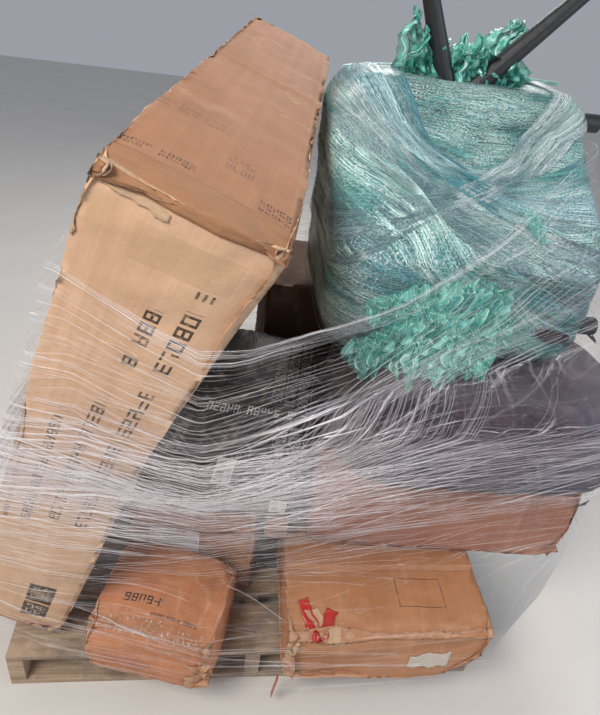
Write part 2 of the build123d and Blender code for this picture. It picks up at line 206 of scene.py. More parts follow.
class Shader:
    """A material and the nodes it is made of."""

    def __init__(self, name):
        self.material = bpy.data.materials.new(name)
        self.material.use_nodes = True
        self.tree = self.material.node_tree
        self.tree.nodes.clear()

    def make(self, kind, settings=None, sockets=None, output=0):
        node = self.tree.nodes.new("ShaderNode" + kind)
        for key, value in (settings or {}).items():
            setattr(node, key, value)
        for key, value in (sockets or {}).items():
            if isinstance(value, Sock):
                self.tree.links.new(value.socket, node.inputs[key])
            elif value is not None:
                target = node.inputs[key]
                if isinstance(value, tuple) and len(value) == 3 and target.type == "RGBA":
                    value = (*value, 1)
                target.default_value = value
        return Sock(self, node.outputs[output])

    def attribute(self, name, output="Vector"):
        return self.make("Attribute", {"attribute_name": name}, output=output)

    def split(self, vector):
        node = vector.shader.tree.nodes.new("ShaderNodeSeparateXYZ")
        self.tree.links.new(vector.socket, node.inputs[0])
        return [Sock(self, out) for out in node.outputs]

    def join(self, x, y, z):
        return self.make("CombineXYZ", None, {0: x, 1: y, 2: z})

    def noise(self, vector, scale, detail=2.0, rough=0.5, stretch=None, output=0):
        if stretch:
            vector = self.make("VectorMath", {"operation": "MULTIPLY"}, {0: vector, 1: stretch})
        return self.make("TexNoise", None, {
            "Vector": vector, "Scale": scale, "Detail": detail, "Roughness": rough}, output)

    def chance(self, x, y, z=0.0):
        """A random number for each whole cell."""
        return self.make("TexWhiteNoise", {"noise_dimensions": "3D"}, {"Vector": self.join(x, y, z)})

    def mix(self, factor, a, b, blend="MIX"):
        return self.make("Mix", {"data_type": "RGBA", "blend_type": blend, "clamp_factor": True},
                         {0: factor, 6: a, 7: b}, 2)

    def bump(self, height, distance, strength=1.0):
        return self.make("Bump", None, {"Height": height, "Distance": distance, "Strength": strength})

    def principled(self, sockets):
        surface = self.make("BsdfPrincipled", None, sockets)
        self.make_output(surface)
        return self.material

    def make_output(self, surface):
        node = self.tree.nodes.new("ShaderNodeOutputMaterial")
        self.tree.links.new(surface.socket, node.inputs["Surface"])


def in_range(value, low, high):
    return value.over(low) * value.under(high)


# Materials
def print_rows(s, u, v, box, row, cell, fill=0.5, seed=0.0, flip=False):
    """Rows of plain stick figures inside a box (u0, v0, u1, v1), in metres, like the digits of a counter."""
    inside = in_range(u, box[0], box[2]) * in_range(v, box[1], box[3])
    c, r = ((u - box[0]) / cell), ((v - box[1]) / row)
    drawn = s.chance(c.floor(), r.floor(), seed)
    x, y = c.fraction() / 0.78, (r.fraction() - 0.14) / 0.72
    if flip:
        y = 1 - y
    glyph = x.under(1.0) * in_range(y, 0.0, 1.0)

    def bit(k):
        return (drawn * 2.0**k).fraction().over(1 - fill)

    left, right = x.under(0.26), x.over(0.74)
    upper, lower = y.over(0.5), y.under(0.5)
    strokes = (left * upper * bit(1) + left * lower * bit(2) + right * upper * bit(3) + right * lower * bit(4)
               + y.over(0.83) * bit(5) + y.under(0.17) * bit(6) + (y - 0.5).size().under(0.09) * bit(7)).clip()
    word = s.chance((c / 6).floor(), r.floor(), seed + 5).over(0.12) * in_range((c / 6).fraction(), 0.0, 0.84)
    return inside * glyph * strokes * word


def cardboard(name, colour, seed, prints=(), dusty=0.2, rub=0.5, glossy=0.75, top=None):
    """prints are functions of (shader, x, y, z, face) that give an ink mask and its colour."""
    s = Shader(name)
    loc, face = s.attribute("loc"), s.attribute("face", "Fac")
    x, y, z = s.split(loc)
    across = x * face.under(1.5) + y * (1 - face.under(1.5))
    flute = (across * (2 * math.pi / 0.0072)).sine()
    fibre = s.noise(loc, 260, 4, 0.65)
    blotch = s.noise(loc, 4.5 + seed % 3, 6, 0.62)
    streak = s.noise(s.join(across * 60, z * 1.6 + y * 1.1, x * 0.0), 1.0, 4, 0.6)
    full = colour
    if top:
        full = s.mix(in_range(face, 0.5, 1.5), colour, top)
    dark = s.mix(1.0, full, (0.66, 0.58, 0.52), "MULTIPLY")
    tone = (blotch - 0.5) * 1.6 + (fibre - 0.5) * 0.35 + flute * 0.01 + (streak - 0.5) * 0.7 + 0.50
    base = s.mix(tone.clip(), dark, full)
    wear = s.attribute("edge", "Fac")
    crease = s.attribute("crease", "Fac")
    pale = s.mix(0.35, full, (0.80, 0.66, 0.50))
    rubbed = ((1 - wear) * 1.3 + s.noise(loc, 46, 6, 0.78) * 1.5 - 1.45).clip() * rub
    scuff = s.noise(loc, 11, 8, 0.8, (1.0, 1.0, 0.3)).ramp(0.60, 0.68) * s.noise(loc, 120, 3, 0.7).ramp(0.45, 0.6)
    base = s.mix((rubbed + scuff * 0.35 * rub).clip(), base, pale)
    base = s.mix(crease * 0.42, base, pale)
    grime = (s.noise(loc, 13, 7, 0.74) - 0.5).clip() * 4.0 * dusty + (1 - wear) * 0.3 * dusty
    base = s.mix(grime, base, (0.13, 0.075, 0.045))
    worn = s.noise(loc, 210, 4, 0.7).ramp(0.30, 0.46) * s.noise(loc, 24, 5, 0.75).ramp(0.28, 0.5)
    for build in prints:
        mask, ink_colour = build(s, x, y, z, face)
        base = s.mix(mask * worn * 0.92, base, ink_colour)
    height = flute * 0.02 + fibre * 0.12 + crease * 0.9 + s.noise(loc, 26, 5, 0.6) * 1.2
    return s.principled({
        "Base Color": base, "Roughness": glossy + (fibre - 0.5) * 0.18,
        "Normal": s.bump(height, 0.0026, 0.6), "Specular IOR Level": 0.28})


def wood(name):
    s = Shader(name)
    p = s.make("TexCoord", output="Object")
    x, y, z = s.split(p)
    board = s.chance((y * 7.1).floor(), (z * 31).floor())
    along = s.join(x * 2.2 + board * 9, y * 34, z * 34)
    grain = s.noise(along, 1.0, 6, 0.62)
    ring = ((grain * 9 + s.noise(p, 3, 3, 0.5) * 3) * math.pi).sine() * 0.5 + 0.5
    colour = s.mix(ring * 0.5 + board * 0.35, (0.30, 0.215, 0.145), (0.52, 0.40, 0.29))
    colour = s.mix(s.noise(p, 7, 6, 0.7).ramp(0.44, 0.68) * 0.8, colour, (0.17, 0.14, 0.12))
    colour = s.mix((s.noise(p, 60, 3, 0.7) - 0.6).clip() * 3, colour, (0.70, 0.62, 0.52))
    return s.principled({"Base Color": colour, "Roughness": 0.78 + ring * 0.1,
                         "Normal": s.bump(grain + ring * 0.3, 0.0015, 0.7), "Specular IOR Level": 0.25})


def paper(name, colour, box=None, bars=True):
    s = Shader(name)
    x, y, z = s.split(s.attribute("loc"))
    base = s.mix(s.noise(s.attribute("loc"), 90, 4, 0.6) * 0.4, colour, tuple(c * 0.85 for c in colour))
    if bars:
        bar = s.chance((x / 0.0018).floor(), 0.0).over(0.5) * in_range(z, 0.12, 0.56) * in_range(y, 0.10, 0.90)
        rows = in_range(z, 0.66, 0.92) * (z * 14).fraction().over(0.55) * s.chance(
            (x / 0.0035).floor(), (z * 14).floor()).over(0.4) * in_range(y, 0.12, 0.88)
        base = s.mix((bar + rows).clip() * 0.85, base, (0.05, 0.05, 0.06))
    return s.principled({"Base Color": base, "Roughness": 0.6})


def pulled(s, u, w, fine, seed):
    """Noise fields of stretched film: broad bands, lines, hairs and short glints, along u."""
    broad = s.noise(s.join(u * 0.8, w * 16 * fine, seed + 2.0), 1.0, 2, 0.65)
    line = s.noise(s.join(u * 1.5, w * 145 * fine, seed + 5.0), 1.0, 3, 0.75)
    hair = s.noise(s.join(u * 3.0, w * 420 * fine, seed + 9.0), 1.0, 1, 0.7)
    spark = s.noise(s.join(u * 45.0, w * 420 * fine, seed + 12.0), 1.0, 1, 0.6)
    return broad, line, hair, spark


def film(name, tint, thin, thick, shear=0.0, seed=0, rough=0.24, fine=1.0):
    """Stretched film. run holds metres along and across the pull, haze how much of it there is."""
    s = Shader(name)
    u, v, _ = s.split(s.attribute("run"))
    haze = s.attribute("haze", "Fac")
    haze = haze + haze.under(0.001)
    wave = s.noise(s.join(u * 1.3, v * 4, seed), 1.0, 1, 0.4)
    w = v + u * shear + wave * 0.02
    broad, line, hair, spark = pulled(s, u, w, fine, seed)
    cross = s.noise(s.join((u + w * 0.6) * 60, w * 9, seed), 1.0, 1, 0.7)
    dense = haze * 0.045
    streak = (line.ramp(0.565 - dense, 0.665 - dense) * (0.30 + broad.ramp(0.40, 0.60) * 0.70)
              + hair.ramp(0.62 - dense, 0.70 - dense) * 0.35
              + cross.ramp(0.62, 0.72) * 0.12)
    alpha = (thin + streak * thick) * haze
    glint = (line.ramp(0.56, 0.66) * (hair.ramp(0.46, 0.60) * 0.8 + spark.ramp(0.56, 0.64))).clip()
    colour = s.mix(glint, tint, (1.0, 1.0, 1.0))
    return s.principled({
        "Base Color": colour, "Roughness": rough, "IOR": 1.49, "Alpha": (alpha + glint * thick * haze * 0.9).clip(),
        "Coat Weight": 0.5, "Coat Roughness": 0.10, "Specular IOR Level": 0.9})


def strand_material(name, colour, rough=0.3, alpha=1.0):
    s = Shader(name)
    n = s.noise(s.make("TexCoord", output="Object"), 25, 1, 0.6)
    return s.principled({"Base Color": s.mix(n, colour, tuple(min(1, c * 1.25) for c in colour)),
                         "Roughness": rough, "Specular IOR Level": 0.8, "Alpha": alpha})


def plain_film(name, colour, rough=0.25, alpha=1.0):
    s = Shader(name)
    p = s.make("TexCoord", output="Object")
    n = s.noise(p, 18, 5, 0.65)
    return s.principled({
        "Base Color": s.mix(n, tuple(c * 0.5 for c in colour), colour), "Roughness": rough, "Alpha": alpha,
        "Specular IOR Level": 0.6, "Normal": s.bump(s.noise(p, 30, 3, 0.5), 0.003, 0.7)})


# Cartons
def lattice(length, cell, edge):
    inner = max(2, round((length - 2 * edge) / cell))
    return np.concatenate([[0, edge * 0.33, edge * 0.7], np.linspace(edge, length - edge, inner + 1),
                           [length - edge * 0.7, length - edge * 0.33, length]])


def box_grid(size, cell, edge):
    """Points, quads and a face number for a closed box: 0 front and back, 1 top and bottom, 2 sides."""
    axes = [lattice(n, cell, edge) for n in size]
    counts = [len(a) for a in axes]
    ids = -np.ones(counts, int)
    surface = np.zeros(counts, bool)
    for axis in range(3):
        for end in (0, -1):
            pick = [slice(None)] * 3
            pick[axis] = end
            surface[tuple(pick)] = True
    ids[surface] = np.arange(surface.sum())
    where = np.argwhere(surface)
    points = np.stack([axes[k][where[:, k]] for k in range(3)], 1)
    faces, kinds = [], []
    for axis, kind in ((1, 0), (2, 1), (0, 2)):
        for end in (0, -1):
            grid = np.take(ids, 0 if end == 0 else counts[axis] - 1, axis=axis)
            a, b, c, d = grid[:-1, :-1], grid[1:, :-1], grid[1:, 1:], grid[:-1, 1:]
            quads = np.stack([a, b, c, d], -1).reshape(-1, 4)
            outward = (end == -1) != (axis == 1)
            quads = quads if outward else quads[:, ::-1]
            faces.append(quads)
            kinds.append(np.full(len(quads), kind, float))
    return points, np.concatenate(faces), np.concatenate(kinds)


class Carton:
    """A crushed carton. Its local frame has the straight box between 0 and size."""

    def __init__(self, matrix, size, shape=None, crush=1.0, seed=1, edge=0.006, dents=(), seam=None):
        self.matrix, self.size, self.shape, self.crush = matrix, np.array(size), shape, crush
        self.seed, self.edge, self.dents, self.seam = seed, edge, dents, seam

    def form(self, loc, lift=0.0):
        """Places points of the straight box on the crushed one. Gives them with wear and fold values."""
        size, seed, edge = self.size, self.seed, self.edge
        core = np.clip(loc, edge, size - edge)
        out = loc - core
        length = np.linalg.norm(out, axis=1, keepdims=True)
        normal = np.where(length > 1e-9, out / np.maximum(length, 1e-9), 0)
        points = core + normal * edge
        gaps = np.sort(np.minimum(loc, size - loc), axis=1)
        wear = np.clip(gaps[:, 1] / 0.03, 0, 1)
        corner = 1 - np.clip(gaps[:, 2] / 0.11, 0, 1)
        rough = layered_noise(loc, 0.16, seed) * 0.0040 + layered_noise(loc, 0.045, seed + 9) * 0.0014 - 0.0035
        folds = creases(loc, (0.10, 0.10, 0.26), seed + 21, 9) * smooth(0.0, 0.5, value_noise(loc, 0.2, seed + 31))
        folds += creases(loc, (0.05, 0.05, 0.04), seed + 41, 7) * (1 - wear) * 0.8
        folds = np.clip(folds, 0, 1)
        push = rough - folds * 0.0028 - corner**2 * 0.011 * (1 + value_noise(loc, 0.03, seed + 5))
        push -= (1 - wear) * 0.003 * (1 + layered_noise(loc, 0.02, seed + 6))
        points = points + normal * np.minimum(push * self.crush, 0.0008)[:, None]
        for at, radius, depth in self.dents:
            away = np.linalg.norm((loc - np.array(at)) / np.array(radius), axis=1)
            points -= normal * (np.exp(-away**2) * depth)[:, None]
            ring = np.exp(-((away - 1.1) / 0.16) ** 2) * min(1, abs(depth) / 0.01)
            folds = np.clip(folds + ring * (0.35 + 0.5 * value_noise(loc, 0.03, seed + 3)), 0, 1)
        if self.seam is not None:
            axis, at, width = self.seam
            top = loc[:, 2] > size[2] - 1e-6
            side = np.where(loc[:, axis] > at, 1.0, -1.0)
            off = np.abs(loc[:, axis] - at)
            points[:, 2] += np.where(top, side * np.exp(-off / width) * 0.0022 - (off < 0.004) * 0.003, 0)
            folds = np.where(top, np.clip(folds + np.exp(-off / 0.01) * 0.4, 0, 1), folds)
        points = points + normal * lift
        if self.shape is not None:
            points = self.shape(points)
        return move(self.matrix, points), wear, folds

    def build(self, name, node, slot, material, cell=0.009):
        loc, faces, kinds = box_grid(self.size, cell, self.edge)
        points, wear, folds = self.form(loc)
        obj = mesh_object(name, points, faces, material, (
            ("loc", "POINT", loc), ("edge", "POINT", wear), ("crease", "POINT", folds), ("face", "FACE", kinds)))
        return finish_piece(obj, [node])

    def strip(self, name, node, slot, material, path, side, lift=0.0012, ragged=0.0, curl=0.0, cell=0.006, seed=1,
              thick=True):
        """A thin sheet laid on the box along path, a line of box points, and as wide as the vector side."""
        path = [np.array(p, float) for p in path]
        line = [path[0]]
        for a, b in zip(path, path[1:]):
            n = max(2, int(np.linalg.norm(b - a) / cell))
            line += [a + (b - a) * k / n for k in range(1, n + 1)]
        line, side = np.array(line), np.array(side, float)
        wide = max(3, int(np.linalg.norm(side) / cell) + 1)
        share = np.linspace(0, 1, wide)
        far = np.concatenate([[0], np.cumsum(np.linalg.norm(np.diff(line, axis=0), axis=1))])
        edge = layered_noise(np.stack([far, far * 0, far * 0], -1), 0.02, seed) * ragged
        start = layered_noise(np.stack([far, far * 0 + 5, far * 0], -1), 0.025, seed + 2) * ragged
        s = share[None, :] * (1 + edge[:, None]) + start[:, None] * (1 - share[None, :])
        loc = line[:, None, :] + side * s[:, :, None]
        u, v = np.broadcast_arrays(far[:, None], share[None, :])
        bend = curl * (np.clip(v - 0.5, 0, 1) * 2) ** 2 * (1 + 0.5 * layered_noise(
            np.stack([u * 1.0, v, u * 0], -1).reshape(-1, 3), 0.04, seed + 5).reshape(u.shape))
        flat = loc.reshape(-1, 3)
        points, _, _ = self.form(np.clip(flat, 0, self.size), (lift + bend).reshape(-1, 1))
        at = np.stack([u, v * np.linalg.norm(side), u * 0], -1).reshape(-1, 3)
        share_at = np.stack([at[:, 0], u.ravel() / max(far[-1], 1e-6), v.ravel()], -1)
        obj = mesh_object(name, points, grid_faces(len(line), wide), material, (
            ("loc", "POINT", share_at), ("run", "POINT", at)))
        if thick:
            solid = obj.modifiers.new("Thickness", "SOLIDIFY")
            solid.thickness, solid.offset = 0.0005, 0
        return finish_piece(obj, [node] if node else ())


def tall_place():
    return place(TALL_AT, *TALL_TURN) @ Matrix.Translation((-TALL_SIZE[0], 0, 0))


def square_place():
    return Matrix.Translation((TALL_AT[0], TALL_AT[1], 0)) @ turn("Z", TALL_TURN[0])


def lean_at(z):
    return (z - TALL_AT[2]) * math.tan(math.radians(TALL_TURN[1]))


def front_slope():
    return math.degrees(math.atan2(FRONT_RISE, FRONT_SIZE[0]))


def long_place():
    lift = FRONT_AT[2] + 0.0005 + FRONT_SIZE[2] + (LONG_AT[0] - FRONT_AT[0]) * FRONT_RISE / FRONT_SIZE[0]
    return place((LONG_AT[0], LONG_AT[1], lift + 0.0005), LONG_YAW, -front_slope())


def tall_shape(p):
    w, d, h = TALL_SIZE
    p = p.copy()
    share = np.clip(p[:, 0] / w, 0, 1)
    back = np.clip(p[:, 1] / d, 0, 1)
    flare = (0.062 * (1 - back) + 0.014 * back) * np.interp(p[:, 2], (0.760, 1.080, 1.267), (0, 0.6, 1))
    p[:, 0] += share * flare
    bulge = np.sin(np.clip(p[:, 2] / h, 0, 1) * math.pi)
    p[:, 1] -= (1 - back) ** 6 * 0.012 * bulge * np.sin(share * math.pi)
    return p


def small_shape(p):
    w, d, h = SMALL_SIZE
    p = p.copy()
    sx, sy, sz = p[:, 0] / w, p[:, 1] / d, np.clip(p[:, 2] / h, 0, 1)
    p[:, 2] += 0.012 * np.sin(sx * math.pi) * sz - 0.014 * (1 - sy) * sz * np.abs(sx - 0.4)
    p[:, 1] -= 0.010 * np.sin(sz * math.pi) * (1 - sy) ** 3
    return p


def front_shape(p):
    w, d, h = FRONT_SIZE
    p = p.copy()
    sx, sz, sy = p[:, 0] / w, np.clip(p[:, 2] / h, 0, 1), p[:, 1] / d
    p[:, 2] += sx * FRONT_RISE * sz
    cut = np.clip((sx - 0.80) / 0.20, 0, 1) ** 1.3 * (1 - sz) * (1 - 0.5 * sy)
    p[:, 2] += cut * 0.085
    p[:, 1] += 0.018 * (1 - sz) * (1 - sy) ** 2 * smooth(0.15, 0.9, sx)
    return p


def ink(box, kind, colour=(0.03, 0.03, 0.035)):
    """A print on a face. kind names the plane: front uses x and z, top x and y, up is a front whose rows rise."""
    rows, cell, fill = kind[1:]

    def build(s, x, y, z, face):
        right = in_range(face, 0.5, 1.5) if kind[0] == "top" else face.under(0.5)
        if kind[0] == "up":
            turned = (box[1], box[0], box[3], box[2])
            return right * print_rows(s, z, x, turned, rows, cell, fill, box[0] * 31, True), colour
        return right * print_rows(s, x, y if kind[0] == "top" else z, box, rows, cell, fill, box[0] * 31), colour

    return build


def patch(box, plane, colour, strength=1.0):
    def build(s, x, y, z, face):
        v = z if plane == "front" else y
        right = face.under(0.5) if plane == "front" else in_range(face, 0.5, 1.5)
        return right * in_range(x, box[0], box[2]) * in_range(v, box[1], box[3]) * strength, colour

    return build


def tall_carton():
    return Carton(tall_place(), TALL_SIZE, tall_shape, 1.0, 11, 0.006, dents=(
        ((0.24, 0.0, 1.12), (0.05, 0.2, 0.12), 0.014), ((0.05, 0.0, 1.267), (0.06, 0.03, 0.04), 0.012),
        ((0.24, 0.0, 0.62), (0.03, 0.05, 0.10), 0.010), ((0.0, 0.0, 0.70), (0.02, 0.04, 0.07), 0.010),
        ((0.20, 0.0, 0.0), (0.06, 0.05, 0.05), 0.012), ((0.10, 0.0, 0.45), (0.09, 0.05, 0.12), 0.004)),
        seam=(1, 0.705, 0.05))


def make_tall_carton():
    w, d, h = TALL_SIZE
    dark = (0.02, 0.018, 0.018)
    prints = [
        patch((w - 0.020, 0.0, w + 0.1, d), "top", (0.42, 0.23, 0.13), 0.55),
        patch((0.07, 1.155, 0.20, 1.215), "front", (0.46, 0.30, 0.18), 0.5),
        patch((0.0, 1.17, 0.045, 1.23), "front", (0.46, 0.30, 0.18), 0.45),
        patch((0.0, 0.447, 0.06, 0.478), "top", (0.25, 0.13, 0.07), 0.5),
        ink((0.0, 0.095, 0.10, 0.122), ("top", 0.013, 0.009, 0.6)),
        ink((0.18, 0.088, 0.235, 0.125), ("top", 0.012, 0.009, 0.6)),
        ink((0.0, 0.28, 0.115, 0.32), ("top", 0.018, 0.006, 0.75), (0.20, 0.10, 0.06)),
        ink((0.125, 0.16, 0.165, 0.22), ("top", 0.03, 0.01, 0.6), (0.20, 0.10, 0.06)),
        ink((0.160, 0.98, 0.192, 1.15), ("up", 0.032, 0.026, 0.78), dark),
        ink((0.160, 0.50, 0.192, 0.93), ("up", 0.032, 0.026, 0.74), dark),
        ink((0.116, 0.97, 0.146, 1.14), ("up", 0.030, 0.024, 0.78), dark),
        ink((0.106, 0.50, 0.136, 0.87), ("up", 0.030, 0.023, 0.74), dark),
        ink((0.054, 0.46, 0.080, 0.80), ("up", 0.026, 0.020, 0.74), dark),
        ink((0.020, 0.44, 0.034, 0.68), ("up", 0.014, 0.011, 0.72), dark),
        patch((0.125, 0.145, 0.185, 0.232), "front", (0.012, 0.012, 0.012)),
        patch((0.125, 0.070, 0.185, 0.138), "front", (0.012, 0.012, 0.012)),
        ink((0.135, 0.160, 0.176, 0.222), ("front", 0.020, 0.011, 0.55), (0.55, 0.45, 0.35)),
        ink((0.135, 0.082, 0.176, 0.130), ("front", 0.024, 0.020, 0.50), (0.55, 0.45, 0.35)),
    ]
    box = tall_carton()
    box.build("tall_carton_crushed", "tall_carton", "carton_tan",
              cardboard("carton_tan", (0.74, 0.50, 0.335), 1, prints, dusty=0.22, top=(0.43, 0.215, 0.118)), 0.012)
    kraft = cardboard("kraft_tape", (0.40, 0.185, 0.085), 8, dusty=0.3, rub=0.3)
    box.strip("kraft_band", "tall_carton_tape", "kraft_tape", kraft,
              ((0, 0.078, h), (0, 0.004, h), (0, 0, h - 0.004), (0, 0, h - 0.022)), (w, 0, 0), 0.0016, 0.0, 0.0, 0.005, 3)
    torn = cardboard("torn_paper", (0.66, 0.46, 0.30), 3, dusty=0.2)
    box.strip("torn_front_edge", None, "carton_tan", torn, ((0.004, 0, h - 0.020), (0.10, 0, h - 0.026)),
              (0, 0, -0.010), 0.0015, 0.5, 0.002, 0.003, 5)
    box.strip("torn_left_corner", None, "carton_tan", torn, ((0.0, 0, h - 0.05), (0.0, 0, h - 0.12)),
              (0.008, 0, 0), 0.0012, 0.6, 0.002, 0.003, 9)


def make_small_carton():
    w, d, h = SMALL_SIZE
    ink_black = (0.012, 0.010, 0.012)
    prints = [
        ink((0.068, 0.072, 0.252, 0.102), ("top", 0.030, 0.0185, 0.80), ink_black),
        ink((0.066, 0.048, 0.264, 0.060), ("top", 0.012, 0.0066, 0.78), ink_black),
        patch((0.05, 0.050, 0.165, 0.085), "front", (0.26, 0.09, 0.08), 0.45),
    ]
    box = Carton(place(SMALL_AT, SMALL_YAW), SMALL_SIZE, small_shape, 1.15, 5, 0.006, dents=(
        ((w, 0.0, 0.06), (0.030, 0.04, 0.10), 0.030), ((w, d, h), (0.06, 0.06, 0.04), 0.010),
        ((0.0, 0.0, h), (0.05, 0.04, 0.04), 0.009), ((0.15, 0.0, 0.1), (0.12, 0.05, 0.03), 0.006)))
    box.build("small_carton_crushed", "small_carton", "carton_brown",
              cardboard("carton_brown", (0.60, 0.26, 0.13), 4, prints, dusty=0.45, rub=0.9), 0.0055)
    t = Shader("clear_tape")
    at = t.attribute("run")
    crumple = t.noise(at, 70, 5, 0.7, (1.0, 2.0, 1.0))
    # The white mixed in where the crumple noise is high is a painted highlight on the tape's crinkles.
    tape = t.principled({
        "Base Color": t.mix(crumple.ramp(0.5, 0.7), (0.56, 0.34, 0.22), (1.0, 0.94, 0.88)), "Roughness": 0.12,
        "Alpha": 0.16 + crumple.ramp(0.54, 0.66) * 0.6, "Normal": t.bump(crumple, 0.0016, 0.8)})
    box.strip("small_carton_tape_crumpled", "small_carton_tape", "clear_tape", tape,
              ((0.0, 0.040, h), (0.0, 0.004, h), (0.0, 0, h - 0.004), (0.0, 0, h - 0.022)), (w, 0, 0), 0.0022,
              0.0, 0.0, 0.004, 3, False)
    torn = cardboard("torn_brown", (0.62, 0.36, 0.20), 5, dusty=0.2)
    box.strip("torn_right_flap", None, "carton_brown", torn, ((w - 0.05, 0, 0.11), (w - 0.05, 0, 0.005)),
              (0.045, 0, 0), 0.003, 0.5, 0.020, 0.003, 7)


def make_left_stack():
    place_q = square_place()
    floor = TALL_AT[2]
    top = floor + POUCH_SIZE[2]
    left = lean_at(top) + 0.008
    w, d, h = POUCH_SIZE
    box = Carton(place_q @ Matrix.Translation((left, 0.215, floor)), POUCH_SIZE, None, 1.5, 17, 0.007, dents=(
        ((w * 0.8, 0.0, 0.20), (0.09, 0.05, 0.02), 0.016), ((w * 0.7, 0.0, 0.245), (0.12, 0.05, 0.012), 0.012)))
    box.build("pouch_carton_crushed", "pouch_carton", "carton_brown",
              cardboard("carton_pouch", (0.50, 0.27, 0.15), 7, dusty=0.35, rub=0.8), 0.008)
    box.strip("packing_pouch_soft", "packing_pouch", "pouch_film",
              crumpled_film("pouch_film", ((0.66, 0.52, 0.52), (0.82, 0.70, 0.70), (0.95, 0.88, 0.90), (1.0, 1.0, 1.0)),
                            55.0, 2.2, 5.0),
              ((0.057, 0, 0.212), (0.190, 0, 0.212)), (0, 0, -0.112), 0.004, 0.02, 0.002, 0.006, 5, False)
    narrow = Carton(place_q @ Matrix.Translation((left + w + 0.009, 0.235, top - 0.1003)), (0.072, 0.305, 0.1003),
                    None, 0.8, 3)
    narrow.build("narrow_carton_crushed", "narrow_carton", "carton_pinkish",
                 cardboard("carton_pinkish", (0.42, 0.22, 0.13), 3, dusty=0.2))
    base, height = top + 0.0005, 0.353
    width = left + w + 0.089 - lean_at(base) - 0.008

    def lean(p):
        p = p.copy()
        rise = np.clip(p[:, 2] / height, 0, 1)
        share = np.clip(p[:, 0] / width, 0, 1)
        p[:, 0] += (1 - share) * rise * height * math.tan(math.radians(TALL_TURN[1])) + share * rise * 0.004
        return p

    white = (0.62, 0.62, 0.66)
    prints = [
        ink((width - 0.105, 0.05, width - 0.010, 0.300), ("front", 0.0125, 0.0075, 0.55), white),
        ink((0.20, 0.05, width - 0.135, 0.20), ("front", 0.022, 0.010, 0.45), (0.26, 0.26, 0.28)),
        ink((0.10, 0.318, width - 0.01, 0.350), ("front", 0.032, 0.021, 0.62), (0.66, 0.64, 0.66)),
        ink((width - 0.14, 0.02, width - 0.01, 0.30), ("top", 0.011, 0.007, 0.5), white),
    ]
    black = Carton(place_q @ Matrix.Translation((lean_at(base) + 0.008, 0.222, base)), (width, 0.338, height), lean,
                   0.8, 23, 0.005)
    black.build("black_carton_crushed", "black_carton", "carton_black",
                cardboard("carton_black", (0.012, 0.012, 0.015), 9, prints, dusty=0.0, rub=0.22, glossy=0.42), 0.01)
    label = paper("white_label", (0.82, 0.82, 0.82))
    shift = lean_at(base) + 0.008
    for n, (x, z, wide, tall) in enumerate(((0.330, 0.560, 0.052, 0.092), (0.496, 0.462, 0.044, 0.044)), 1):
        x0, z0 = x - wide / 2 - shift, z - tall / 2 - base
        x0 -= 0 if n == 1 else -0.002
        black.strip(f"bar_label_{n}", f"black_carton_label_{n}", "white_label", label,
                    ((x0, 0, z0), (x0, 0, z0 + tall)), (wide, 0, 0), 0.0012, 0.0, 0.0, 0.004, n)


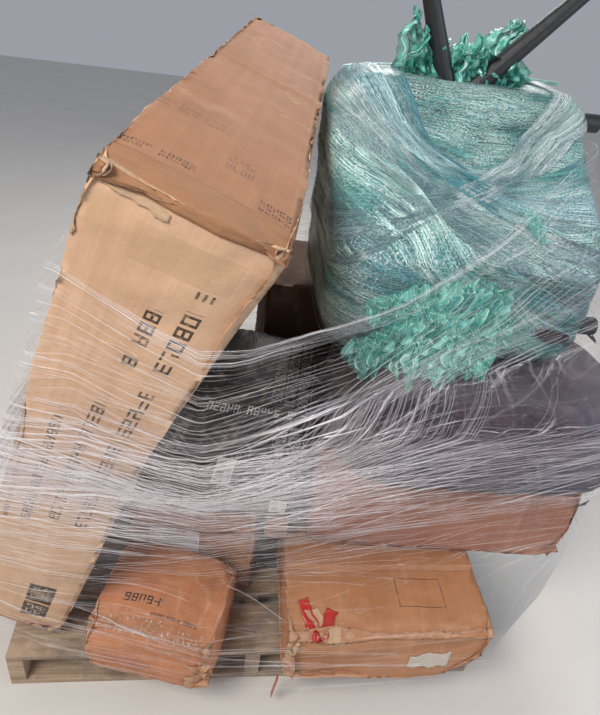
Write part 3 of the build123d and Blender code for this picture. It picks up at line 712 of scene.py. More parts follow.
def make_right_stack():
    w, d, h = FRONT_SIZE

    def frame_line(s, x, y, z, face):
        on_top = in_range(face, 0.5, 1.5)
        outer = in_range(x, 0.285, 0.405) * in_range(y, 0.083, 0.168)
        inner = in_range(x, 0.2875, 0.4025) * in_range(y, 0.0855, 0.1655)
        return on_top * (outer - inner).clip() * 0.9, (0.08, 0.045, 0.03)

    box = Carton(place(FRONT_AT, FRONT_YAW), FRONT_SIZE, front_shape, 1.3, 29, 0.006, dents=(
        ((0.12, 0.0, h), (0.07, 0.07, 0.05), 0.026), ((w, 0.0, h), (0.07, 0.05, 0.05), 0.014),
        ((0.32, 0.0, h), (0.16, 0.035, 0.03), 0.012), ((0.10, 0.0, 0.05), (0.12, 0.05, 0.06), 0.02),
        ((0.156, 0.13, h), (0.006, 0.12, 0.05), 0.005), ((0.0, 0.0, 0.06), (0.05, 0.06, 0.08), 0.016),
        ((0.40, 0.0, 0.12), (0.12, 0.05, 0.05), 0.012)), seam=(1, d / 2, 0.04))
    box.build("front_carton_crushed", "front_carton", "carton_brown",
              cardboard("carton_front", (0.56, 0.275, 0.14), 5, [frame_line], dusty=0.35, rub=0.9), 0.0065)
    torn = cardboard("torn_front", (0.66, 0.42, 0.25), 6, dusty=0.2)
    box.strip("torn_flap", None, "carton_brown", torn, ((0.080, 0.085, h), (0.135, 0.0, h), (0.140, 0, h - 0.05)),
              (-0.035, -0.012, 0), 0.003, 0.15, 0.008, 0.003, 4)
    box.strip("torn_left_edge", None, "carton_brown", torn, ((0.0, 0, h - 0.03), (0.0, 0, 0.012)),
              (0.024, 0, 0), 0.0025, 0.6, 0.010, 0.003, 14)
    box.strip("torn_bottom_edge", None, "carton_brown", torn, ((0.01, 0, 0.0), (0.17, 0, 0.0)),
              (0, 0, 0.02), 0.003, 0.7, 0.006, 0.003, 19)
    red = plain_film("red_tape", (0.62, 0.035, 0.02), 0.3)
    box.strip("red_tape_upright", "red_tape", "red_tape", red, ((0.030, 0.10, h), (0.062, 0.004, h), (0.065, 0, h - 0.02)),
              (0.026, 0.008, 0), 0.0025, 0.25, 0.003, 0.004, 6)
    box.strip("red_tape_slanted", None, "red_tape", red, ((0.105, 0.085, h), (0.062, 0.006, h)),
              (0.026, -0.012, 0), 0.0036, 0.25, 0.003, 0.004, 8)
    box.strip("pale_label", "front_carton_label", "white_label",
              paper("pale_label", (0.56, 0.50, 0.42), bars=False),
              ((0.318, 0, 0.102), (0.425, 0, 0.102)), (0, 0, -0.048), 0.002, 0.25, 0.002, 0.005, 9)
    paint("red_tape_tail", red)
    pink = Carton(long_place(), LONG_SIZE, None, 1.1, 37, 0.006, dents=(
        ((LONG_SIZE[0], 0.0, LONG_SIZE[2]), (0.05, 0.05, 0.05), 0.012),
        ((LONG_SIZE[0], 0.0, 0.0), (0.06, 0.05, 0.06), 0.012)))
    pink.build("long_carton_crushed", "long_carton", "carton_pinkish",
               cardboard("carton_long", (0.46, 0.22, 0.15), 6, dusty=0.18, rub=0.6), 0.01)


def paint(node, material):
    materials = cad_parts[node].data.materials
    materials.clear()
    materials.append(material)


def make_hidden_cartons():
    plain = cardboard("carton_plain", (0.50, 0.29, 0.16), 2, dusty=0.25)
    # The rear carton gets a dark brown that is painted shade, where it stands in shadow behind the load.
    dim = cardboard("carton_shaded", (0.16, 0.095, 0.06), 3, dusty=0.3, rub=0.3)
    for n, (node, crush) in enumerate((("rear_carton", 1.0), ("back_core", 0.8))):
        low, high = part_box(node)
        size = tuple(b - a for a, b in zip(low, high))
        box = Carton(Matrix.Translation(low), size, None, crush, 51 + n, 0.006, seam=(0, size[0] / 2, 0.05))
        box.build(node + "_crushed", node, "carton_plain", (dim, plain)[n], 0.014)
    paint("inner_core", plain_film("core_dark", (0.30, 0.18, 0.10), 0.8))


# Film that hugs the load
class Hull:
    """How far out taut film lies from the load's middle, by direction and height."""

    SIDES, TURNS = 48, 480

    def __init__(self, nodes, low, high):
        self.low = low
        self.levels = np.arange(low, high + FILM_STEP, FILM_STEP)
        middle = np.array(FILM_MIDDLE)
        ways = np.linspace(0, 2 * math.pi, self.SIDES, endpoint=False)
        self.turns = np.linspace(0, 2 * math.pi, self.TURNS, endpoint=False)
        apart = np.cos(self.turns[:, None] - ways[None, :])
        runs = [self.runs(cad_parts[n]) for n in nodes]
        a, b = (np.concatenate([r[k] for r in runs]) for k in (0, 1))
        rows = []
        for z in self.levels:
            points = self.slab(a, b, z - FILM_STEP, z + FILM_STEP) - middle
            reach = (points @ np.stack([np.cos(ways), np.sin(ways)])).max(0)
            rows.append(np.where(apart > 0.05, reach[None, :] / np.maximum(apart, 0.05), 9).min(1))
        self.table = np.array(rows) + 0.0025

    @staticmethod
    def runs(obj):
        mesh = obj.data
        co = np.zeros(len(mesh.vertices) * 3)
        mesh.vertices.foreach_get("co", co)
        ends = np.zeros(len(mesh.edges) * 2, int)
        mesh.edges.foreach_get("vertices", ends)
        co, ends = co.reshape(-1, 3), ends.reshape(-1, 2)
        return co[ends[:, 0]], co[ends[:, 1]]

    @staticmethod
    def slab(a, b, low, high):
        swap = a[:, 2] > b[:, 2]
        a, b = np.where(swap[:, None], b, a), np.where(swap[:, None], a, b)
        keep = (b[:, 2] >= low) & (a[:, 2] <= high)
        a, b = a[keep], b[keep]
        rise = np.maximum(b[:, 2] - a[:, 2], 1e-9)
        t0 = np.clip((low - a[:, 2]) / rise, 0, 1)[:, None]
        t1 = np.clip((high - a[:, 2]) / rise, 0, 1)[:, None]
        return np.concatenate([a + (b - a) * t0, a + (b - a) * t1])[:, :2]

    def at(self, angle, z, away=0.0):
        """Points on the film at angles and heights, moved out by away."""
        angle, z = np.broadcast_arrays(np.asarray(angle, float), np.asarray(z, float))
        row = np.clip((z - self.low) / FILM_STEP, 0, len(self.levels) - 1.001)
        col = (angle / (2 * math.pi) % 1) * self.TURNS
        r0, c0 = row.astype(int), col.astype(int) % self.TURNS
        fr, fc = row - r0, col - np.floor(col)
        c1 = (c0 + 1) % self.TURNS
        t = self.table
        radius = ((t[r0, c0] * (1 - fc) + t[r0, c1] * fc) * (1 - fr)
                  + (t[r0 + 1, c0] * (1 - fc) + t[r0 + 1, c1] * fc) * fr) + away
        return np.stack([FILM_MIDDLE[0] + radius * np.cos(angle), FILM_MIDDLE[1] + radius * np.sin(angle), z], -1)

    def top(self, angle):
        """Height of the film's upper edge."""
        z = np.full(np.shape(angle), 1.1)
        for _ in range(25):
            z = (z + film_top(self.at(angle, z)[..., 0])) / 2
        return z

    def share(self, angle, t, away=0.0):
        """Points at shares of the way from the film's foot to its upper edge."""
        angle, t = np.broadcast_arrays(np.asarray(angle, float), np.asarray(t, float))
        return self.at(angle, FILM_LOW + (self.top(angle) - FILM_LOW) * t, away)


def film_top(x):
    xs, zs = zip(*FILM_TOP)
    return np.interp(x, xs, zs)


def film_layer(name, hull, material, away, low, high, ripple, seed, haze, ragged=0.0, turns=480, rows=64):
    """One turn of film between the shares low and high of the way up. high may be a function of the angle."""
    angle = np.linspace(0, 2 * math.pi, turns, endpoint=False)
    upper = high(angle) if callable(high) else np.full(turns, high)
    ring = np.stack([np.cos(angle), np.sin(angle), angle * 0], -1)
    upper = upper + layered_noise(ring, 0.12, seed + 8) * ragged
    a, row = np.meshgrid(angle, np.linspace(0, 1, rows))
    t = low + (upper[None, :] - low) * row
    points = hull.share(a, t, away).reshape(-1, 3)
    a, t, row = a.ravel(), t.ravel(), row.ravel()
    out = np.stack([np.cos(a), np.sin(a)], -1)
    along = a * 0.75
    pull = layered_noise(np.stack([np.cos(a) * 0.5, np.sin(a) * 0.5, t * 7], -1), 0.35, seed + 4)
    fine = layered_noise(np.stack([np.cos(a), np.sin(a), t * 40], -1), 0.5, seed + 5)
    bridge = np.clip(1 - row * 1.0, 0, 1) * 0
    points[:, :2] += out * (ripple * pull + ripple * 0.4 * fine + bridge)[:, None]
    hem = smooth(0.985, 1.0, row)
    points[:, 2] -= hem * 0.004
    step = np.diff(points.reshape(rows, turns, 3), axis=0)
    steep = step[:, :, 2] / np.linalg.norm(step, axis=2)
    steep = np.concatenate([steep, steep[-1:]])
    steep = sum(np.roll(steep, k, 1) for k in range(-8, 9)).ravel() / 17
    uv = np.stack([along, t * 1.05, along * 0], -1)
    weight = haze(a, points, t) * (0.12 + 0.88 * smooth(0.25, 0.75, steep)) + hem * 0.5
    obj = mesh_object(name, points, grid_faces(rows, turns, True), material, (
        ("run", "POINT", uv), ("haze", "POINT", weight)))
    return obj


def bell(value, middle, width):
    return np.exp(-((value - middle) / width) ** 2)


def make_film(settings):
    bare = ("deck", "bottom", "stringer", "clear", "red_tape_tail")
    hull = Hull([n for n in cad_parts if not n.startswith(bare)], FILM_LOW, 1.42)

    def haze_main(a, p, t):
        front = np.clip(-np.sin(a) * 1.5, 0, 1)
        middle = bell(p[:, 0], -0.14, 0.30) * bell(p[:, 2], 0.79, 0.17)
        right = bell(p[:, 0], 0.42, 0.42) * bell(p[:, 2], 0.74, 0.26)
        left = bell(p[:, 0], -0.55, 0.30) * bell(p[:, 2], 0.72, 0.30)
        low = bell(p[:, 2], 0.30, 0.16) * 0.35
        value = 0.36 + front * (1.15 * middle + 0.42 * right + 0.75 * left - low)
        return np.clip(value, 0.12, 1.8) * settings.haze

    def haze_low(a, p, t):
        return np.clip(0.35 + 0.5 * bell(p[:, 2], 0.20, 0.10) + 0.3 * bell(p[:, 2], 0.5, 0.1), 0, 1) * settings.haze

    def second_top(a):
        x = np.cos(a)
        return np.where(np.sin(a) < 0, 0.73 + 0.10 * smooth(-0.2, 0.9, x), 0.80)

    pieces = [
        film_layer("clear_film_main", hull, film("clear_film_a", (0.98, 0.91, 0.95), 0.010, 0.80, 0.0, 1, 0.24, 1.2),
                   0.002, 0.0, 1.0, 0.003, 3, haze_main),
        film_layer("clear_film_second", hull, film("clear_film_b", (0.98, 0.92, 0.98), 0.005, 0.72, 0.10, 4, 0.2, 1.7),
                   0.004, 0.20, second_top, 0.0035, 8, haze_main, 0.006, rows=44),
        film_layer("clear_film_third", hull, film("clear_film_d", (0.98, 0.92, 0.96), 0.0, 0.62, -0.22, 11, 0.2, 1.1),
                   0.006, 0.30, 0.92, 0.004, 17, haze_main, 0.03, rows=40),
        film_layer("clear_film_low", hull, film("clear_film_c", (0.95, 0.90, 0.90), 0.005, 0.40, -0.05, 7),
                   0.003, 0.0, 0.27, 0.003, 12, haze_low, 0.01, rows=24),
    ]
    for n, obj in enumerate(pieces):
        finish_piece(obj, ["clear_wrap"] if n == 0 else ())
    return hull


# Strands by geometry nodes
def strand_tree():
    """Copies each guide curve, fans the copies out, ripples them and gives them a round section."""
    tree = bpy.data.node_groups.new("Strands", "GeometryNodeTree")
    face = tree.interface
    face.new_socket("Geometry", in_out="INPUT", socket_type="NodeSocketGeometry")
    for label, kind, value in (("Count", "NodeSocketInt", 12), ("Spread", "NodeSocketFloat", 0.02),
                               ("Radius", "NodeSocketFloat", 0.0006), ("Ripple", "NodeSocketFloat", 0.004),
                               ("Seed", "NodeSocketInt", 1)):
        face.new_socket(label, in_out="INPUT", socket_type=kind).default_value = value
    face.new_socket("Material", in_out="INPUT", socket_type="NodeSocketMaterial")
    face.new_socket("Geometry", in_out="OUTPUT", socket_type="NodeSocketGeometry")

    def node(kind, settings=None, sockets=None):
        made = tree.nodes.new(kind)
        for key, value in (settings or {}).items():
            setattr(made, key, value)
        for key, value in (sockets or {}).items():
            if isinstance(value, bpy.types.NodeSocket):
                tree.links.new(value, made.inputs[key])
            else:
                made.inputs[key].default_value = value
        return made

    group = node("NodeGroupInput").outputs
    copies = node("GeometryNodeDuplicateElements", {"domain": "SPLINE"}, {
        "Geometry": group["Geometry"], "Amount": group["Count"]})
    row = node("ShaderNodeMath", {"operation": "MULTIPLY"}, {0: copies.outputs["Duplicate Index"], 1: 17.0})
    spline = node("GeometryNodeSplineLength")
    mark = node("ShaderNodeMath", {"operation": "ADD"}, {0: row.outputs[0], 1: spline.outputs["Length"]})
    fan = node("FunctionNodeRandomValue", {"data_type": "FLOAT_VECTOR"}, {
        0: (-1.0, -1.0, -1.0), 1: (1.0, 1.0, 1.0), "ID": copies.outputs["Duplicate Index"], "Seed": group["Seed"]})
    fanned = node("ShaderNodeVectorMath", {"operation": "SCALE"}, {0: fan.outputs[0], "Scale": group["Spread"]})
    there = node("GeometryNodeInputPosition")
    shift = node("ShaderNodeCombineXYZ", None, {0: mark.outputs[0], 1: mark.outputs[0]})
    moved = node("ShaderNodeVectorMath", {"operation": "ADD"}, {0: there.outputs[0], 1: shift.outputs[0]})
    waves = node("ShaderNodeTexNoise", {"noise_dimensions": "3D"}, {"Vector": moved.outputs[0], "Scale": 7.0})
    centred = node("ShaderNodeVectorMath", {"operation": "SUBTRACT"}, {0: waves.outputs["Color"], 1: (0.5, 0.5, 0.5)})
    ripple = node("ShaderNodeVectorMath", {"operation": "SCALE"}, {0: centred.outputs[0], "Scale": group["Ripple"]})
    offset = node("ShaderNodeVectorMath", {"operation": "ADD"}, {0: fanned.outputs[0], 1: ripple.outputs[0]})
    placed = node("GeometryNodeSetPosition", None, {
        "Geometry": copies.outputs["Geometry"], "Offset": offset.outputs[0]})
    circle = node("GeometryNodeCurvePrimitiveCircle", None, {"Resolution": 3, "Radius": group["Radius"]})
    tube = node("GeometryNodeCurveToMesh", None, {
        "Curve": placed.outputs["Geometry"], "Profile Curve": circle.outputs["Curve"], "Fill Caps": True})
    real = node("GeometryNodeRealizeInstances", None, {0: tube.outputs[0]})
    painted = node("GeometryNodeSetMaterial", None, {0: real.outputs[0], "Material": group["Material"]})
    node("NodeGroupOutput", None, {0: painted.outputs[0]})
    return tree


def strands(name, tree, guides, material, slot, **inputs):
    """Mesh of the strands that follow guide lines, lists of points."""
    curve = bpy.data.curves.new(name + "_guides", "CURVE")
    curve.dimensions = "3D"
    for points in guides:
        spline = curve.splines.new("POLY")
        spline.points.add(len(points) - 1)
        for target, p in zip(spline.points, points):
            target.co = (*p, 1)
    guide = bpy.data.objects.new(name + "_guides", curve)
    bpy.context.scene.collection.objects.link(guide)
    modifier = guide.modifiers.new("Strands", "NODES")
    modifier.node_group = tree
    names = {item.name: item.identifier for item in tree.interface.items_tree if item.in_out == "INPUT"}
    for label, value in {**inputs, "Material": material}.items():
        modifier[names[label]] = value
    graph = bpy.context.evaluated_depsgraph_get()
    mesh = bpy.data.meshes.new_from_object(guide.evaluated_get(graph))
    bpy.data.objects.remove(guide)
    mesh.shade_smooth()
    obj = bpy.data.objects.new(name, mesh)
    bpy.context.scene.collection.objects.link(obj)
    return finish_piece(obj)


def make_strands(hull, settings):
    tree = strand_tree()
    bright = strand_material("clear_strand", (0.90, 0.86, 0.92), 0.18, 0.42)
    pick = random.Random(5)

    def along(a0, a1, t0, t1, away, count=60, sag=0.0):
        t = np.linspace(0, 1, count)
        return hull.share(np.radians(a0 + (a1 - a0) * t), t0 + (t1 - t0) * t - sag * np.sin(t * math.pi), away)

    lines = []
    for _ in range(settings.strands):
        t = pick.gauss(0.52, 0.15)
        start = pick.uniform(-175, -75)
        lines.append(along(start, start + pick.uniform(8, 50), t, t + pick.gauss(0.0, 0.03),
                           pick.uniform(0.003, 0.008)))
    strands("clear_strands_fine", tree, lines, bright, "clear_film", Count=2, Spread=0.006, Radius=0.00028,
            Ripple=0.004, Seed=3)
    fans = []
    for _ in range(settings.strands // 2):
        t = pick.uniform(0.55, 1.0)
        fans.append(along(-113 + pick.uniform(-2, 2), pick.uniform(-80, -15), 0.60 + pick.gauss(0, 0.012), t, 0.007))
        fans.append(along(-176, -113 + pick.uniform(-3, 3), pick.uniform(0.45, 0.80), 0.60 + pick.gauss(0, 0.02), 0.007))
    strands("clear_strands_fan", tree, fans, bright, "clear_film", Count=2, Spread=0.007, Radius=0.00032,
            Ripple=0.004, Seed=5)
    gathered = film("clear_film_rope", (0.95, 0.92, 0.97), 0.03, 0.60, 0.0, 31, 0.2, 3.0)
    ropes = (
        (-179, 181, 1.0, 1.0, 0.011), (-120, -18, 0.99, 0.992, 0.016), (-118, -24, 0.975, 0.965, 0.014),
        (-178, -20, 0.73, 0.82, 0.014), (-172, -80, 0.27, 0.115, 0.012), (-150, -62, 0.16, 0.095, 0.016),
        (-96, -48, 0.36, 0.42, 0.010), (-160, -112, 0.55, 0.61, 0.012))
    for k, (a0, a1, t0, t1, wide) in enumerate(ropes, 1):
        middle = along(a0, a1, t0, t1, 0.005, int(abs(a1 - a0) * 1.6) + 10)
        rope(f"clear_rope_{k}", middle, wide, gathered, 30 + k)


def rope(name, line, wide, material, seed, turns=9):
    """A band of film gathered and twisted into a loose rope along a line of points."""
    ahead = np.gradient(line, axis=0)
    ahead /= np.linalg.norm(ahead, axis=1, keepdims=True)
    up = np.array([0, 0, 1.0]) - ahead * ahead[:, 2:]
    up /= np.linalg.norm(up, axis=1, keepdims=True)
    out = np.cross(ahead, up)
    far = np.concatenate([[0], np.cumsum(np.linalg.norm(np.diff(line, axis=0), axis=1))])
    c = np.linspace(-0.5, 0.5, turns)
    f, cc = np.meshgrid(far, c, indexing="ij")
    at = np.stack([f, cc * 0.02, f * 0], -1).reshape(-1, 3)
    width = wide * (1 + 0.5 * value_noise(at * (1, 0, 1), 0.12, seed).reshape(f.shape))
    roll = 0.9 * value_noise(at * (1, 0, 1), 0.16, seed + 1).reshape(f.shape) + cc * 5
    side, depth = cc * width * np.cos(roll * 0.4), np.abs(np.sin(roll)) * width * 0.22
    points = line[:, None, :] + up[:, None, :] * side[:, :, None] - out[:, None, :] * depth[:, :, None]
    points = points.reshape(-1, 3) + (layered_noise(at, 0.05, seed + 2) * wide * 0.15)[:, None] * np.repeat(up, turns, 0)
    run = np.stack([f, cc * wide * 1.4, f * 0], -1).reshape(-1, 3)
    obj = mesh_object(name, points, grid_faces(len(line), turns), material, (("run", "POINT", run),))
    return finish_piece(obj)


# Soft goods
def block_grid(low, high, radius, corner=0.0, lean=0.0, lean_from=0.0, cell=0.006):
    """A rounded block as rows of points round it, from the middle of its underside to that of its top.

    Gives points, outward directions, and metres round it and up it. Its front leans back above lean_from."""
    low, high = np.array(low), np.array(high)
    corner = max(corner, radius)
    mid, half = (low + high) / 2, (high - low) / 2
    cores, ways = [], []
    for n, (sx, sy) in enumerate(((1, 1), (-1, 1), (-1, -1), (1, -1))):
        core = np.array([sx, sy]) * (half[:2] - corner)
        sides = max(4, int(corner * math.pi / 2 / cell))
        for k in range(sides):
            cores.append(core)
            ways.append(n * math.pi / 2 + math.pi / 2 * k / sides)
        nxt = ((-1, 1), (-1, -1), (1, -1), (1, 1))[n]
        core2 = np.array(nxt) * (half[:2] - corner)
        steps = max(2, int(np.linalg.norm(core2 - core) / cell))
        for k in range(steps):
            cores.append(core + (core2 - core) * k / steps)
            ways.append((n + 1) * math.pi / 2)
    cores, ways = np.array(cores), np.array(ways)
    ways = np.stack([np.cos(ways), np.sin(ways)], -1)
    ring = cores + ways * corner
    around = np.concatenate([[0], np.cumsum(np.linalg.norm(np.diff(ring, axis=0), axis=1))])
    shoulder = high[2] - radius
    turn_steps = [math.pi / 2 * k / 12 for k in range(13)]
    flat = int(min(half[:2]) / (cell * 1.6))
    levels = [(low[2], 0.0, k / flat, -1.0) for k in range(1, flat)]
    levels += [(low[2] + radius * (1 - math.sin(t)), math.cos(t), 1.0, -math.sin(t)) for t in turn_steps[::-1]]
    rise = shoulder - low[2] - radius
    steps = max(2, int(rise / cell))
    levels += [(low[2] + radius + rise * k / steps, 1.0, 1.0, 0.0) for k in range(1, steps)]
    levels += [(shoulder + radius * math.sin(t), math.cos(t), 1.0, math.sin(t)) for t in turn_steps]
    levels += [(high[2], 0.0, k / flat, 1.0) for k in range(flat - 1, 0, -1)]
    rows, normals = [], []
    for z, reach, grow, up in levels:
        xy = (cores + ways * (corner - radius + radius * reach)) * grow + mid[:2]
        if lean:
            share = min(max((z - lean_from) / (shoulder - lean_from), 0), 1)
            xy[:, 1] += lean * share * (high[1] - xy[:, 1]) / (high[1] - low[1])
        rows.append(np.column_stack([xy, np.full(len(xy), z)]))
        normals.append(np.column_stack([ways * math.sqrt(max(0, 1 - up * up)), np.full(len(xy), up)]))
    points = np.array(rows)
    up = np.concatenate([[0], np.cumsum(np.linalg.norm(np.diff(points, axis=0), axis=2).mean(1))])
    u, v = np.broadcast_arrays(around[None, :], up[:, None])
    return points, np.array(normals), u, v


def block_faces(rows, columns):
    """Quads of a block grid, closed with fans to a last point below and one above."""
    faces = grid_faces(rows, columns, True)
    low, high, last = rows * columns, rows * columns + 1, (rows - 1) * columns
    for c in range(columns):
        d = (c + 1) % columns
        faces += [(low, d, c), (high, last + c, last + d)]
    return faces


def block_object(name, grid, push, matrix, material, nodes):
    """Object of a block grid whose points move outward by push, a function of the points."""
    points, normals, u, v = grid
    rows, columns = points.shape[:2]
    ends = np.array([points[0].mean(0), points[-1].mean(0)])
    flat = np.concatenate([points.reshape(-1, 3), ends])
    out = np.concatenate([normals.reshape(-1, 3), [[0, 0, -1], [0, 0, 1]]])
    uv = np.stack([np.concatenate([u.ravel(), [0, 0]]), np.concatenate([v.ravel(), [0, v.max()]]),
                   np.zeros(len(flat))], -1)
    flat = flat + out * push(flat, uv)[:, None]
    obj = mesh_object(name, move(matrix, flat), block_faces(rows, columns), material, (
        ("loc", "POINT", flat), ("run", "POINT", uv)))
    return finish_piece(obj, nodes)


class Skin:
    """The outside of an object, for laying film and strands on it."""

    def __init__(self, obj, middle):
        mesh = obj.data
        self.tree = BVHTree.FromPolygons([v.co for v in mesh.vertices], [p.vertices for p in mesh.polygons])
        self.middle = np.array(middle, float)

    def onto(self, ways, lift):
        """Where lines from the middle along ways leave the object, lifted off it."""
        ways = np.asarray(ways, float)
        ways = ways / np.linalg.norm(ways, axis=1, keepdims=True)
        lift = np.broadcast_to(lift, len(ways))
        out = []
        for way, up in zip(ways, lift):
            hit, normal, _, _ = self.tree.ray_cast(Vector(self.middle + way * 2), Vector(-way))
            out.append(np.array(hit) + np.array(normal) * up)
        return np.array(out)


def dark_cover(name):
    s = Shader(name)
    p = s.attribute("loc")
    u, v, _ = s.split(s.attribute("run"))
    weave = ((u * 2600).sine() * (v * 2600).sine()) * 0.4
    patchy = s.noise(p, 6, 6, 0.65)
    base = s.mix(patchy.ramp(0.35, 0.7), (0.022, 0.012, 0.020), (0.100, 0.054, 0.080))
    base = s.mix(s.noise(p, 3, 3, 0.5).ramp(0.56, 0.66) * 0.6, base, (0.018, 0.024, 0.075))
    fold = s.noise(s.join(u * 3, v * 12, 0.0), 1.0, 5, 0.6)
    # The lighter colour on the raised folds is a painted sheen; the same folds also feed the bump.
    base = s.mix(fold.ramp(0.52, 0.68) * 0.5, base, (0.15, 0.11, 0.14))
    return s.principled({"Base Color": base, "Roughness": 0.72, "Sheen Weight": 0.25,
                         "Normal": s.bump(weave * 0.3 + s.noise(p, 30, 5, 0.65) * 2 + fold * 3, 0.004, 0.9)})


def bundle_place():
    return long_place() @ Matrix.Translation(BUNDLE_AT)


def make_bundle():
    grid = block_grid((0, 0, 0), BUNDLE_SIZE, SOFT_R, BUNDLE_CORNER_R, cell=0.007)

    def push(p, uv):
        side = smooth(0.0, 0.03, p[:, 2]) * smooth(0.0, 0.06, BUNDLE_SIZE[2] - p[:, 2] + 0.03)
        folds = creases(p, (0.17, 0.17, 0.05), 63, 5) * 0.004
        return side * (layered_noise(p, 0.2, 61) * 0.007 + layered_noise(p, (0.06, 0.06, 0.03), 66) * 0.004 - folds)

    soft = block_object("dark_bundle_soft", grid, push, bundle_place(), dark_cover("bundle_fabric"),
                        ["dark_bundle"])


def teal_streaks(name, tints, cover, fine=1.0, seed=0.0, see_through=True):
    """Teal film. tints run from the gaps to the pulled lines, the last a painted highlight; cover is how much of it
    there is.
    """
    s = Shader(name)
    u, v, _ = s.split(s.attribute("run"))
    w = v + s.noise(s.join(u * 2.2, v * 3.2, seed), 1.0, 2, 0.55) * 0.12
    broad, line, hair, spark = pulled(s, u * 4.5, w, fine, seed)
    area = s.noise(s.join(u * 3.2, w * 7.0, seed + 8), 1.0, 2, 0.6)
    dash = s.noise(s.join((u + v * 0.7) * 50, (v - u * 0.7) * 300, seed + 21), 1.0, 1, 0.7)
    base = s.mix(broad.ramp(0.34, 0.56), tints[0], tints[1])
    base = s.mix(line.ramp(0.45, 0.58) * 0.9, base, tints[2])
    # The light mask lays the last tint, a painted highlight, along the hairs and dashes; it also thickens the film.
    light = (hair.ramp(0.46, 0.58) * (0.15 + area.ramp(0.42, 0.62) * 0.95) + dash.ramp(0.58, 0.66) * 0.40).clip()
    base = s.mix(light * 0.80, base, tints[3])
    gap = s.noise(s.join((u - v * 0.4) * 16, (v + u * 0.4) * 330 * fine, seed + 31), 1.0, 2, 0.75)
    base = s.mix(gap.ramp(0.34, 0.44, 1.0, 0.0) * 0.85, base, tints[0])
    # shine paints white glints, a painted highlight, on sparks and gap edges.
    shine = spark.ramp(0.56, 0.62) * area.ramp(0.36, 0.56) + gap.ramp(0.60, 0.67) * area.ramp(0.44, 0.60) * 0.8
    base = s.mix(shine.clip(), base, (0.95, 1.0, 0.99))
    sockets = {
        "Base Color": base, "Roughness": 0.34, "Specular IOR Level": 0.45,
        "Coat Weight": 0.10, "Coat Roughness": 0.15}
    if see_through:
        sockets["Alpha"] = ((0.12 + broad.ramp(0.40, 0.54) * 0.65 + light * 0.35) * cover).clip()
    else:
        sockets["Normal"] = s.bump(line * 1.8, 0.005, 1.0)
    return s.principled(sockets)


def crumpled_film(name, tints, size=38.0, cover=1.4, seed=0.0):
    """Loose crumpled film: facets between folds, with painted light and shade on each facet and painted highlights on
    the ridges. tints run from deep to bright, the brightest a painted highlight.
    """
    s = Shader(name)
    u, v, _ = s.split(s.attribute("run"))
    bend = s.noise(s.join(u * 14, v * 14, seed), 1.0, 2, 0.6)
    sway = s.noise(s.join(u * 9 + 4, v * 9, seed + 3.0), 1.0, 2, 0.6)
    at = s.join((u + bend * 0.13 - v * 0.3) * size * 0.5, (v + sway * 0.10) * size * 0.9, seed)
    facet = s.make("TexVoronoi", {"feature": "F1"}, {"Vector": at, "Scale": 1.0}, "Color")
    fold = s.make("TexVoronoi", {"feature": "DISTANCE_TO_EDGE"}, {"Vector": at, "Scale": 1.0}, "Distance")
    shade, tilt, _ = s.split(facet)
    fine = s.noise(s.join((u + bend * 0.12) * 50, (v + sway * 0.12) * 260, seed + 8.0), 1.0, 4, 0.76)
    # shade and tilt are random for each facet and paint facets lighter and darker as if lit from different angles:
    # painted light and shade.
    base = s.mix(shade.ramp(0.1, 0.9), tints[0], tints[1])
    base = s.mix((tilt.ramp(0.35, 0.95) * 0.8 + (fine - 0.5) * 1.2).clip(), base, tints[2])
    ridge = fold.ramp(0.0, 0.07, 1.0, 0.0)
    # The last tint on the ridges and fine lines, and the white after it, are painted highlights.
    base = s.mix((ridge * fine.ramp(0.44, 0.60) * 0.6 + fine.ramp(0.54, 0.62) * 0.45).clip(), base, tints[3])
    base = s.mix(fine.ramp(0.62, 0.68) * tilt.ramp(0.3, 0.7), base, (0.92, 1.0, 0.98))
    return s.principled({
        "Base Color": base, "Roughness": 0.25, "Specular IOR Level": 0.8, "Coat Weight": 0.35, "Coat Roughness": 0.10,
        "Alpha": ((0.35 + ridge * 0.5 + tilt * 0.4 + fine.ramp(0.45, 0.6) * 0.3) * cover * 0.8).clip(),
        "Normal": s.bump(fine * 0.9, 0.0045, 1.0)})


def wrap_band(name, skin, material, tilt, heading, offset, width, lift, seed, turns=300, rows=14, arc=(0, 1)):
    """A turn of film round the furniture in a tilted plane, pinched here and there."""
    rot = np.array(turn("Z", heading) @ turn("X", tilt))[:3, :3]
    a, v = np.meshgrid(np.linspace(arc[0], arc[1], turns) * 2 * math.pi, np.linspace(-0.5, 0.5, rows))
    a, v = a.ravel(), v.ravel()
    ring = np.stack([np.cos(a), np.sin(a), a * 0], -1)
    width = width * (1 + 0.3 * value_noise(ring, 0.5, seed))
    h = offset + 0.035 * value_noise(ring, 0.7, seed + 1) + v * width
    ways = (np.cos(a)[:, None] * rot[:, 0] + np.sin(a)[:, None] * rot[:, 1]) * 0.3 + h[:, None] * rot[:, 2]
    up = lift + 0.0012 * np.clip(layered_noise(np.stack([a * 0.3, v * 9, a * 0], -1), 0.3, seed + 2), -0.6, 2)
    points = skin.onto(ways, up)
    uv = np.stack([a * 0.3, h, a * 0], -1)
    obj = mesh_object(name, points, grid_faces(rows, turns), material, (("run", "POINT", uv),))
    return finish_piece(obj)


